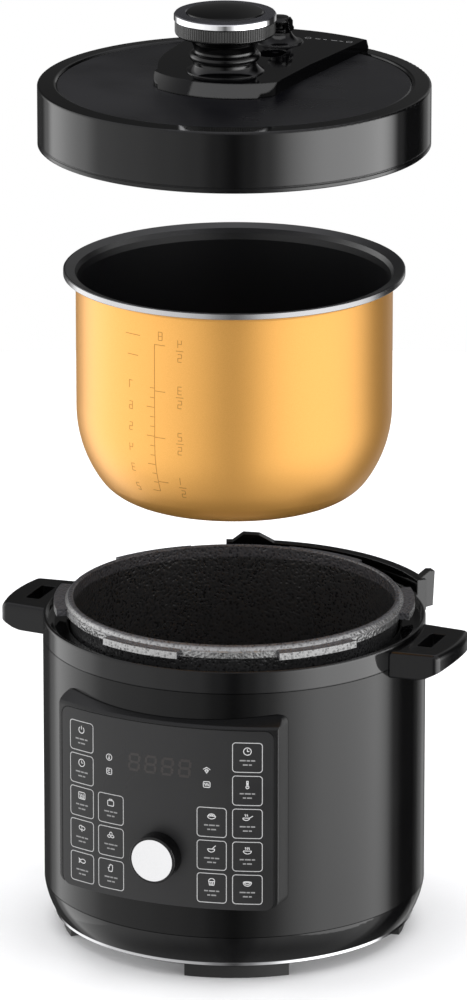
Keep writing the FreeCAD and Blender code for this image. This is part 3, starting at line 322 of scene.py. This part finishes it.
def spun_build(g, shader, spot, base):
    """Fine turning marks round the middle, which spread reflections outward from it."""
    round_it = g.add("ShaderNodeTangent", direction_type="RADIAL", axis="Z")
    g.link(round_it.outputs[0], shader.inputs["Tangent"])
    shader.inputs["Anisotropic"].default_value = 0.75


gloss = material("gloss_black", (0.0016, 0.0016, 0.0018), 0.05, level=0.33, grain=260.0,
                 bump=0.0015, edge=1.2)
# A darker, less reflective copy of gloss_black for the lid bar: painted shade.
bar_shaded_gloss = material("bar_gloss_painted_shade", (0.0010, 0.0010, 0.0012), 0.07, level=0.16, grain=260.0,
                      bump=0.0015, edge=1.6)
satin = material("satin_black", (0.0026, 0.0026, 0.0029), 0.20, level=0.28, grain=1500.0,
                 bump=0.006, edge=1.2)
housing_finish = material("housing_charcoal", (0.0018, 0.0018, 0.0019), 0.12, level=0.225,
                          grain=1800.0, bump=0.002)
disc_finish = material("disc_satin", (0.0030, 0.0030, 0.0048), 0.30, level=0.66, grain=2200.0,
                       bump=0.008, build=spun_build)
panel_finish = material("panel_satin", (0.0175, 0.0175, 0.018), 0.32, level=0.31, grain=2000.0,
                        bump=0.004)
frame_finish = material("frame_satin", (0.005, 0.005, 0.0052), 0.24, level=0.32, grain=2000.0,
                        bump=0.004, edge=1.5)
steel = material("brushed_steel", (0.58, 0.58, 0.60), 0.26, metal=1.0, grain=1200.0, bump=0.006)
alloy = material("satin_alloy", (0.52, 0.52, 0.54), 0.36, metal=1.0, grain=1400.0, bump=0.008)
chrome = material("chrome", (0.86, 0.86, 0.88), 0.06, metal=1.0, grain=400.0, vary=0.03)
bezel_finish = material("bezel_grey", (0.055, 0.055, 0.064), 0.26, metal=0.45, grain=2400.0,
                        bump=0.006)
rubber = material("foot_rubber", (0.012, 0.012, 0.012), 0.62, level=0.30, grain=1600.0, bump=0.030)
silicone = material("silicone", (0.50, 0.50, 0.51), 0.48, level=0.40, grain=700.0, bump=0.012)
board = material("circuit_board", (0.02, 0.09, 0.035), 0.42, grain=600.0, bump=0.02,
                 tint=(0.03, 0.14, 0.05))
brass = material("brass_pins", (0.66, 0.50, 0.24), 0.22, metal=1.0, grain=900.0)
smoke = material("smoked_cup", (0.018, 0.018, 0.020), 0.12, level=0.45, grain=500.0, bump=0.006)
cap_finish = material("knob_silver", (0.82, 0.82, 0.83), 0.28, metal=1.0, grain=1500.0, vary=0.04)

HAMMERED_DEEP = 0.55
CELL_SCALE = 430.0
BEND_SCALE = 420.0
FLANGE_LEVEL = (0.2565, 0.2585)
FLANGE_EDGE = (0.1285, 0.1300)
# Radii of the flange's top face, which gets a painted sheen.
FLANGE_SHEEN_RADIUS = (0.1235, 0.1250)


def enamel_build(g, shader, spot, base):
    """Hammered enamel: pebbles a few millimetres across with their tops painted lighter (a painted
    highlight), the flange's top face painted lighter than the inside (a painted sheen), bare on the
    flange's edge.
    """
    cells = g.add("ShaderNodeTexVoronoi", feature="SMOOTH_F1")
    g.link(spot, cells.inputs["Vector"])
    cells.inputs["Scale"].default_value = CELL_SCALE
    cells.inputs["Smoothness"].default_value = 0.6
    both = g.math("MULTIPLY_ADD", g.noise(spot, BEND_SCALE), 0.6, cells.outputs["Distance"])
    lump = g.add("ShaderNodeBump")
    lump.inputs["Strength"].default_value = 0.9
    lump.inputs["Distance"].default_value = HAMMERED_DEEP * MM
    g.link(both, lump.inputs["Height"])
    g.link(lump.outputs[0], shader.inputs["Normal"])
    # The pebble tops are coloured lighter than their hollows: a painted highlight.
    pebble_highlight = g.spread(both, 0.40, 0.80)
    flat, outward, level, _ = g.round_axis(spot)
    upright = g.spread(outward, 0.45, 0.75)
    high = g.spread(level, *FLANGE_LEVEL)
    side = g.math("MULTIPLY", g.math("MULTIPLY", upright, high), g.spread(flat, *FLANGE_EDGE))
    # The flange's top face is coloured lighter than the inside: a painted sheen.
    flange_top_sheen = g.math("MULTIPLY", g.spread(flat, *FLANGE_SHEEN_RADIUS), high)
    well = g.mix(pebble_highlight, (0.003, 0.003, 0.0035), (0.032, 0.032, 0.033))
    top = g.mix(pebble_highlight, (0.022, 0.022, 0.025), (0.075, 0.075, 0.082))
    edge = g.mix(pebble_highlight, (0.18, 0.18, 0.18), (0.36, 0.36, 0.36))
    g.link(g.mix(side, g.mix(flange_top_sheen, well, top), edge), shader.inputs["Base Color"])
    g.link(g.math("MULTIPLY", side, 0.75), shader.inputs["Metallic"])


pot_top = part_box("inner_pot")[1].z
LIP_LEVEL = (pot_top - 0.0092, pot_top - 0.0086)
LIP_RADIUS = (0.1235, 0.1243)
FLECK_SCALE = 2600.0


def pot_build(g, shader, spot, base):
    """Gold satin outside, dark coating inside and over the lip, polished edge on the lip."""
    flat, outward, level, up = g.round_axis(spot)
    lip = g.math("MULTIPLY", g.spread(flat, *LIP_RADIUS), g.spread(level, *LIP_LEVEL))
    down = g.math("MULTIPLY", up, -1.0)
    outside = g.math("MAXIMUM", g.spread(outward, -0.05, 0.05), g.spread(down, 0.3, 0.6))
    outside = g.math("MULTIPLY", outside, g.math("SUBTRACT", 1.0, lip))
    polished = g.math("MULTIPLY", lip, g.spread(g.math("SUBTRACT", 0.62, up), 0.0, 0.1))
    fleck = g.noise(spot, FLECK_SCALE)
    gold = g.mix(g.spread(fleck, 0.3, 0.7), (0.85, 0.420, 0.088), (0.93, 0.480, 0.118))
    coating = g.mix(g.spread(fleck, 0.55, 0.75), (0.004, 0.004, 0.005), (0.013, 0.013, 0.016))
    skin = g.mix(outside, coating, gold)
    g.link(g.mix(polished, skin, (0.50, 0.50, 0.51)), shader.inputs["Base Color"])
    dull = g.math("MULTIPLY_ADD", outside, 0.04, 0.34)
    g.link(g.math("MULTIPLY_ADD", polished, -0.15, dull), shader.inputs["Roughness"])
    g.link(g.math("MAXIMUM", g.math("MULTIPLY", outside, 0.84), polished), shader.inputs["Metallic"])


# Below these heights the base is coloured bright metal: a painted highlight on its lip.
LIP_HIGHLIGHT_LEVEL = (0.0150, 0.0146)


def shell_build(g, shader, spot, base):
    """The base's lowest edge is coloured bright grey and metallic: a painted highlight along its rounded
    lip.
    """
    lip = g.spread(g.axes(spot)["Z"], *LIP_HIGHLIGHT_LEVEL)
    g.link(g.mix(lip, base, (0.42, 0.42, 0.43)), shader.inputs["Base Color"])
    g.link(lip, shader.inputs["Metallic"])


enamel = material("hammered_enamel", (0.02, 0.02, 0.021), 0.27, level=0.6, build=enamel_build)
gold_finish = material("gold_pot", (0.7, 0.45, 0.16), 0.30, metal=1.0, grain=1800.0, bump=0.004,
                       coat=0.40, coat_rough=0.34, build=pot_build)
shell_finish = material("base_gloss", (0.0014, 0.0014, 0.0016), 0.05, level=0.31, grain=260.0,
                        bump=0.0015, build=shell_build)

finish = {
    "bottom_shell": shell_finish, "feet": rubber, "base_screws": steel, "outer_housing": housing_finish,
    "top_collar": gloss, "side_handle_right": satin, "side_handle_left": satin, "rear_guard": gloss,
    "outer_pot": enamel, "pot_supports": steel, "heating_plate": alloy, "heating_element": steel,
    "sensor_holder": steel, "panel_frame": frame_finish, "panel_face": panel_finish,
    "control_board": board, "display_module": satin, "encoder": satin, "power_board": board,
    "power_inlet": satin, "inlet_pins": brass, "cup_rails": satin, "control_knob": gloss,
    "control_knob_cap": cap_finish, "encoder_shaft": steel, "sensor_button": alloy,
    "condensation_cup": smoke, "inner_pot": gold_finish, "sealing_ring": silicone, "lid_cover": gloss,
    "lid_disc": disc_finish, "lid_plate": alloy, "lid_posts": satin, "lid_screws": steel,
    "seal_rack": steel, "lid_bar": bar_shaded_gloss, "lid_grip": gloss, "grip_chrome_ring": chrome,
    "grip_bezel": bezel_finish, "grip_dome": gloss, "grip_screw": steel, "vent_pipe": steel,
    "vent_guard": steel, "steam_valve": gloss, "float_pin": steel, "float_cap": silicone,
}


def dress(item, mat):
    item.data.materials.clear()
    item.data.materials.append(mat)


for name, item in nodes.items():
    dress(item, finish[name])

dress(floor, material("pale_floor", (0.86, 0.86, 0.86), 0.85, level=0.1, grain=300.0, vary=0.01))

# ---------------------------------------------------------------- thin printed marks


def arc(x, y, wide, start=0.0, end=360.0, tall=None, count=20):
    """Points along an arc, or along part of an ellipse if tall is given."""
    tall = wide if tall is None else tall
    turns = [math.radians(start + (end - start) * k / count) for k in range(count + 1)]
    return [(x + wide * math.cos(t), y + tall * math.sin(t)) for t in turns]


def rounded(x, y, wide, tall, corner):
    """The outline of a rounded rectangle centred on x and y."""
    loop = []
    for sx, sy, start in ((1, 1, 0), (-1, 1, 90), (-1, -1, 180), (1, -1, 270)):
        cx, cy = x + sx * (wide / 2 - corner), y + sy * (tall / 2 - corner)
        loop += arc(cx, cy, corner, start, start + 90, count=6)
    return loop + loop[:1]


LONGEST_STEP = 3.0
TINY = 1e-6


def stroke(form, path, width, place):
    """A flat ribbon along a path, laid on a surface by place."""
    closed = len(path) > 3 and math.dist(path[0], path[-1]) < TINY
    points = []
    for first, second in zip(path, path[1:]):
        steps = max(1, math.ceil(math.dist(first, second) / LONGEST_STEP))
        points += [Vector(first).lerp(Vector(second), k / steps) for k in range(steps)]
    if not closed:
        points.append(Vector(path[-1]))
    count = len(points)
    sides = []
    for k, here in enumerate(points):
        before = points[(k - 1) % count] if closed or k else here
        after = points[(k + 1) % count] if closed or k < count - 1 else here
        first, second = here - before, after - here
        first = first.normalized() if first.length > TINY else second.normalized()
        second = second.normalized() if second.length > TINY else first
        along = (first + second).normalized() if (first + second).length > TINY else first
        across = Vector((-along.y, along.x))
        reach = 0.5 * width / max(0.4, along.dot(first))
        sides.append((form.verts.new(place(*(here + across * reach))),
                      form.verts.new(place(*(here - across * reach)))))
    pairs = list(zip(sides, sides[1:] + sides[:1])) if closed else list(zip(sides, sides[1:]))
    for (a, b), (c, d) in pairs:
        form.faces.new((a, b, d, c))


def fill(form, corners, place):
    """A flat patch between corners, laid on a surface by place."""
    form.faces.new([form.verts.new(place(*p)) for p in corners])


def printed(name, mat, body, thickness=0.05):
    """An empty mesh to draw on, and the call that makes it a thin piece that rides on a body."""
    form = bmesh.new()

    def done():
        bmesh.ops.recalc_face_normals(form, faces=form.faces)
        mesh = bpy.data.meshes.new(name)
        form.to_mesh(mesh)
        form.free()
        item = bpy.data.objects.new(name, mesh)
        scene.collection.objects.link(item)
        thick = item.modifiers.new("thickness", "SOLIDIFY")
        thick.thickness = thickness * MM
        thick.offset = 0.0
        dress(item, mat)
        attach(item, body)

    return form, done


def surface_of(name):
    """The surface of a node, for rays to find."""
    mesh = nodes[name].data
    return BVHTree.FromPolygons([v.co.copy() for v in mesh.vertices],
                                [tuple(f.vertices) for f in mesh.polygons])


# ---------------------------------------------------------------- marks on the panel

FACE_RADIUS = 226.0
FACE_AXIS = 71.0
PRINT_LIFT = 0.14
KEY_ROW = 26.6
KEY_MIDDLE = 188.0
KEY_WIDE = 22.7
KEY_TALL = 23.5
KEY_CORNER = 2.5
LINE = 0.62
ICON_RISE = 5.0
ICON_SCALE = 1.12
WORD_HALF = 0.55
WORD_GAP = 0.7
CAPTION_LINES = ((-2.4, (3.2, 4.6, 2.6)), (-5.8, (2.4, 3.8)))


def on_panel(s, z):
    """A point on the curved panel, s millimetres round it from its middle."""
    angle = s / FACE_RADIUS
    out = FACE_RADIUS + PRINT_LIFT
    return Vector((out * math.sin(angle), FACE_AXIS - out * math.cos(angle), z)) * MM


ink = material("print_grey", (0.46, 0.46, 0.46), 0.45, level=0.3, grain=3000.0, vary=0.10)
pale_ink = material("print_pale", (0.60, 0.60, 0.60), 0.45, level=0.3, grain=3000.0, vary=0.10)
caption_ink = material("print_dim", (0.26, 0.26, 0.26), 0.45, level=0.3, grain=3000.0, vary=0.10)
dim_ink = material("display_segments", (0.027, 0.0235, 0.0225), 0.30, level=0.4, grain=2500.0, vary=0.10)


def wave(x, y, tall, sway):
    return [(x + sway * math.sin(k / 8 * 2 * math.pi), y + tall * k / 8) for k in range(9)]


def bowl(x, y, wide, deep):
    return [(x - wide, y), (x + wide, y)], arc(x, y, wide, 180, 360, tall=deep)


ICONS = {
    "power": [arc(0, 0, 2.3, 125, 415), [(0, 0.4), (0, 3.0)]],
    "clock": [arc(0, 0, 2.6), [(0, 1.7), (0, 0), (1.4, 0)]],
    "steam": [rounded(0, 0, 5.6, 4.8, 0.8), wave(-1.4, -1.0, 2.2, 0.3), wave(0, -1.0, 2.2, 0.3),
              wave(1.4, -1.0, 2.2, 0.3), [(-2.0, -1.6), (2.0, -1.6)]],
    "meat": [arc(-0.9, 0.5, 1.7, 20, 330, tall=1.5), arc(1.0, 0.2, 1.6, 200, 520, tall=1.3),
             [(-0.6, -1.2), (0.2, -2.4)]],
    "fish": [arc(0.7, 0, 2.1, tall=1.4), [(-1.2, 0.4), (-2.8, 1.5), (-2.4, 0), (-2.8, -1.5), (-1.2, -0.4)]],
    "pot": [rounded(0, -0.4, 4.8, 3.8, 0.7), [(-1.2, 1.5), (-1.0, 2.4), (1.0, 2.4), (1.2, 1.5)]],
    "beans": [arc(-1.3, -0.7, 1.2, tall=0.9), arc(1.3, -0.6, 1.2, tall=0.9), arc(0.1, 1.2, 1.0, tall=1.2)],
    "hand": [[(-1.6, -2.4), (-2.2, 0.0), (-1.4, 0.2), (-1.2, 2.0), (-0.5, 2.1), (-0.2, 2.7), (0.5, 2.4),
              (1.2, 2.1), (1.4, 0.4), (1.2, -1.0), (0.8, -2.4), (-1.6, -2.4)]],
    "rice": [*bowl(0, 0, 2.8, 2.0), arc(0, 0, 2.3, 0, 180, tall=1.6), arc(0, 0, 1.2, 0, 180, tall=0.8)],
    "spoon": [*bowl(-0.3, 0, 2.5, 2.2), [(0.4, 0.2), (2.8, 2.6)]],
    "cake": [[(-2.0, 0.2), (-1.5, -2.4), (1.5, -2.4), (2.0, 0.2), (-2.0, 0.2)],
             arc(0, 0.4, 2.1, 0, 180, tall=2.0), [(-0.6, 0.0), (-0.4, -2.2)], [(0.6, 0.0), (0.4, -2.2)]],
    "heat": [arc(0, -1.9, 1.0), [(-0.5, -1.0), (-0.5, 2.4), (0.5, 2.4), (0.5, -1.0)],
             [(0, -1.8), (0, 1.2)]],
    "pan": [*bowl(-0.8, -0.3, 2.3, 1.7), [(1.5, -0.2), (3.8, 1.2)],
            wave(-1.4, 0.8, 1.6, 0.25), wave(0, 0.8, 1.6, 0.25)],
    "soup": [*bowl(0, -0.3, 2.8, 2.1), wave(-1.2, 0.6, 1.8, 0.25), wave(0, 0.6, 1.8, 0.25),
             wave(1.2, 0.6, 1.8, 0.25)],
    "cup": [*bowl(0, 0.6, 2.8, 2.6), arc(0, 0.6, 1.9, 180, 360, tall=1.4),
            arc(0, 0.6, 2.8, 0, 180, tall=0.7)],
}
KEYS = [
    (-69.3, 0, "power"), (-69.3, 1, "clock"), (-69.3, 2, "steam"), (-69.3, 3, "meat"), (-69.3, 4, "fish"),
    (-41.8, 2, "pot"), (-41.8, 3, "beans"), (-41.8, 4, "hand"),
    (41.8, 2, "rice"), (41.8, 3, "spoon"), (41.8, 4, "cake"),
    (69.3, 0, "clock"), (69.3, 1, "heat"), (69.3, 2, "pan"), (69.3, 3, "soup"), (69.3, 4, "cup"),
]
outlines, finish_outlines = printed("key_outlines", ink, "cooker")
icons, finish_icons = printed("key_icons", pale_ink, "cooker")
captions, finish_captions = printed("key_captions", caption_ink, "cooker")
for number, (s, row, icon) in enumerate(KEYS):
    z = KEY_MIDDLE - KEY_ROW * row

    def at_key(u, v, s=s, z=z):
        return on_panel(s + u, z + v)

    stroke(outlines, rounded(0, 0, KEY_WIDE, KEY_TALL, KEY_CORNER), LINE, at_key)
    for path in ICONS[icon]:
        stroke(icons, [(u * ICON_SCALE, v * ICON_SCALE + ICON_RISE) for u, v in path], LINE, at_key)
    for v, words in CAPTION_LINES:
        words = words[number % 2:] + words[:number % 2]
        u = -(sum(words) + WORD_GAP * (len(words) - 1)) / 2.0
        low, high = v - WORD_HALF, v + WORD_HALF
        for length in words:
            fill(captions, [(u, low), (u + length, low), (u + length, high), (u, high)], at_key)
            u += length + WORD_GAP
finish_outlines()
finish_icons()
finish_captions()

DISPLAY_LEVEL = 176.4
SIGNS_LEFT = -43.0
SIGNS_RIGHT = 38.0
LOW_SIGNS = 165.0
SIGNS = (
    (SIGNS_LEFT, DISPLAY_LEVEL, [arc(0, 0, 2.5), [(0, -1.3), (0, 1.5)], arc(0, -0.9, 0.5)]),
    (SIGNS_LEFT, LOW_SIGNS, [rounded(0, 0, 4.6, 4.8, 1.0), arc(0, 0, 1.1, 40, 320)]),
    (SIGNS_RIGHT, DISPLAY_LEVEL, [[(-2.8, 0.6), (0, 2.4), (2.8, 0.6)],
                                  [(-1.6, 0.2), (0, -2.2), (1.6, 0.2)], arc(0, 0.2, 0.7)]),
    (SIGNS_RIGHT, LOW_SIGNS, [rounded(0, 0, 5.2, 4.6, 1.0), wave(-1.2, -1.2, 2.4, 0.3),
                              wave(0, -1.2, 2.4, 0.3), wave(1.2, -1.2, 2.4, 0.3)]),
)
signs, finish_signs = printed("indicator_signs", pale_ink, "cooker")
for s, z, paths in SIGNS:
    for path in paths:
        stroke(signs, path, LINE, lambda u, v, s=s, z=z: on_panel(s + u, z + v))
finish_signs()

digits, finish_digits = printed("display_digits", dim_ink, "cooker")
DIGIT_WIDE = 9.6
DIGIT_TALL = 14.0
DIGIT_PITCH = 13.8
DIGIT_LEAN = 0.09
DIGIT_BAR = 2.1
for place in range(4):
    middle = (place - 1.5) * DIGIT_PITCH
    w, h = DIGIT_WIDE / 2.0, DIGIT_TALL / 2.0
    bars = [((-w + 1, y), (w - 1, y)) for y in (-h + 0.75, 0.0, h - 0.75)]
    bars += [((x, y + 0.9), (x, y + h - 1.6)) for x in (-w + 0.75, w - 0.75) for y in (-h + 0.7, 0.0)]
    for first, second in bars:
        stroke(digits, [first, second], DIGIT_BAR,
               lambda u, v: on_panel(middle + u + DIGIT_LEAN * v, DISPLAY_LEVEL + v))
finish_digits()

# ---------------------------------------------------------------- scale pressed into the pot

pot_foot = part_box("inner_pot")[0].z / MM
POT_RADIUS = 121.55
SCALE_LIFT = 0.03
RAY_START = 0.2
pot_shape = surface_of("inner_pot")


def on_pot(s, z):
    """A point on the outside of the pot, s millimetres to the right of its front, z above its foot."""
    out = Vector((math.sin(s / POT_RADIUS), -math.cos(s / POT_RADIUS), 0.0))
    start = out * RAY_START + Vector((0.0, 0.0, (pot_foot + z) * MM))
    return pot_shape.ray_cast(start, -out)[0] + out * SCALE_LIFT * MM


# The scale's lines are a darker gold than the pot: painted shade for the pressed lines.
scale_shaded_gold = material("gold_mark_painted_shade", (0.52, 0.25, 0.060), 0.40, metal=0.8, grain=1800.0, bump=0.004)
scale, finish_scale = printed("pot_scale", scale_shaded_gold, "pot", thickness=0.12)
SCALE_LINE = -17.0
SCALE_LOW = 30.0
SCALE_HIGH = 148.0
SCALE_WIDTH = 0.55
TICK = 7.6
TICK_LONG = 7.0
TICK_SHORT = 4.0
FIFTH = 36.5
CUPS_AT = SCALE_LINE - 22.0
CUPS_TOP = 113.5
CUP = 16.6
FIFTHS_AT = SCALE_LINE + 21.0
NUMERAL = 1.5
marks = [[(SCALE_LINE, SCALE_LOW), (SCALE_LINE, SCALE_HIGH)]]
for k in range(12):
    level = SCALE_LOW + TICK * k
    marks.append([(SCALE_LINE - (TICK_LONG if k % 3 == 0 else TICK_SHORT), level), (SCALE_LINE, level)])
for k in range(4):
    marks.append([(SCALE_LINE, SCALE_HIGH - FIFTH * k), (SCALE_LINE + 9.0, SCALE_HIGH - FIFTH * k)])
SEGMENTS = {
    1: "bc", 2: "abged", 3: "abgcd", 4: "fgbc", 5: "afgcd", 6: "afgedc", 7: "abc", 8: "abcdefg",
}
STROKES = {
    "a": ((-1, 2), (1, 2)), "b": ((1, 2), (1, 0)), "c": ((1, 0), (1, -2)), "d": ((-1, -2), (1, -2)),
    "e": ((-1, 0), (-1, -2)), "f": ((-1, 2), (-1, 0)), "g": ((-1, 0), (1, 0)),
}


def numeral(value, s, z, size):
    """Mirrored, because the scale is pressed from the inside where it is read."""
    for key in SEGMENTS[value]:
        marks.append([(s - size * u, z + size * v) for u, v in STROKES[key]])


numeral(8, SCALE_LINE + 5.0, SCALE_HIGH + 7.0, 1.6)
for k, value in enumerate((7, 6, 5, 4, 3, 2)):
    numeral(value, CUPS_AT, CUPS_TOP - CUP * k, NUMERAL)
for k in range(4):
    level = SCALE_HIGH - 3.0 - FIFTH * k
    numeral(4 - k, FIFTHS_AT, level + 5.5, NUMERAL)
    marks.append([(FIFTHS_AT - 3.0, level), (FIFTHS_AT + 3.0, level)])
    numeral(5, FIFTHS_AT, level - 5.5, NUMERAL)
for level, wide in ((153.0, 14.0), (137.0, 10.0)):
    marks.append([(SCALE_LINE - 20.0 - wide / 2, level), (SCALE_LINE - 20.0 + wide / 2, level)])
for path in marks:
    stroke(scale, path, SCALE_WIDTH, on_pot)
finish_scale()

# ---------------------------------------------------------------- small generic marks on the lid bar

MARKS_BACK = 119.0
ABOVE_LID = 0.9
BAR_LIFT = 0.04
DOWN = Vector((0.0, 0.0, -1.0))
bar_shape = surface_of("lid_bar")


def on_bar(x, y):
    """A point on top of the lid bar."""
    start = Vector((x * MM, y * MM, ABOVE_LID))
    return bar_shape.ray_cast(start, DOWN)[0] - DOWN * BAR_LIFT * MM


bar_marks, finish_bar_marks = printed("bar_marks", caption_ink, "lid")
for k, wide in enumerate((4.0, 3.0, 5.0, 3.5)):
    x = 20.0 + 6.5 * k
    stroke(bar_marks, [(x, MARKS_BACK), (x + wide, MARKS_BACK)], 1.2, on_bar)
for x in (14.0, 48.0):
    stroke(bar_marks, arc(x, MARKS_BACK, 2.2), 0.6, on_bar)
finish_bar_marks()

# ---------------------------------------------------------------- fine ridges round the grip

grip_low, grip_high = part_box("grip_chrome_ring")
grip_x, grip_y = (grip_low.x + grip_high.x) / 2.0, (grip_low.y + grip_high.y) / 2.0
ridges = bmesh.new()
RIDGES = 120
ROOT_RADIUS = 37.9
RIDGE_STEPS = (0.0, 0.6, 1.0, 0.6)
PROFILE = ((37.9, -9.6), (38.0, -9.4), (38.3, -9.0), (38.3, -0.9), (38.0, -0.5), (37.9, -0.3))
columns = []
for k in range(RIDGES * len(RIDGE_STEPS)):
    turn_by = 2.0 * math.pi * k / (RIDGES * len(RIDGE_STEPS))
    depth = RIDGE_STEPS[k % len(RIDGE_STEPS)]
    column = []
    for radius, level in PROFILE:
        out = (ROOT_RADIUS + (radius - ROOT_RADIUS) * depth) * MM
        x, y = grip_x + out * math.sin(turn_by), grip_y - out * math.cos(turn_by)
        column.append(ridges.verts.new((x, y, grip_low.z + level * MM)))
    columns.append(column)
for first, second in zip(columns, columns[1:] + columns[:1]):
    for k in range(len(PROFILE) - 1):
        ridges.faces.new((first[k], second[k], second[k + 1], first[k + 1]))
ridge_mesh = bpy.data.meshes.new("grip_ridges")
ridges.to_mesh(ridge_mesh)
ridges.free()
ridge_ring = bpy.data.objects.new("grip_ridges", ridge_mesh)
scene.collection.objects.link(ridge_ring)
dress(ridge_ring, material("ridge_satin", (0.020, 0.020, 0.019), 0.30, level=0.6, grain=2500.0,
                           bump=0.004))
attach(ridge_ring, "lid")
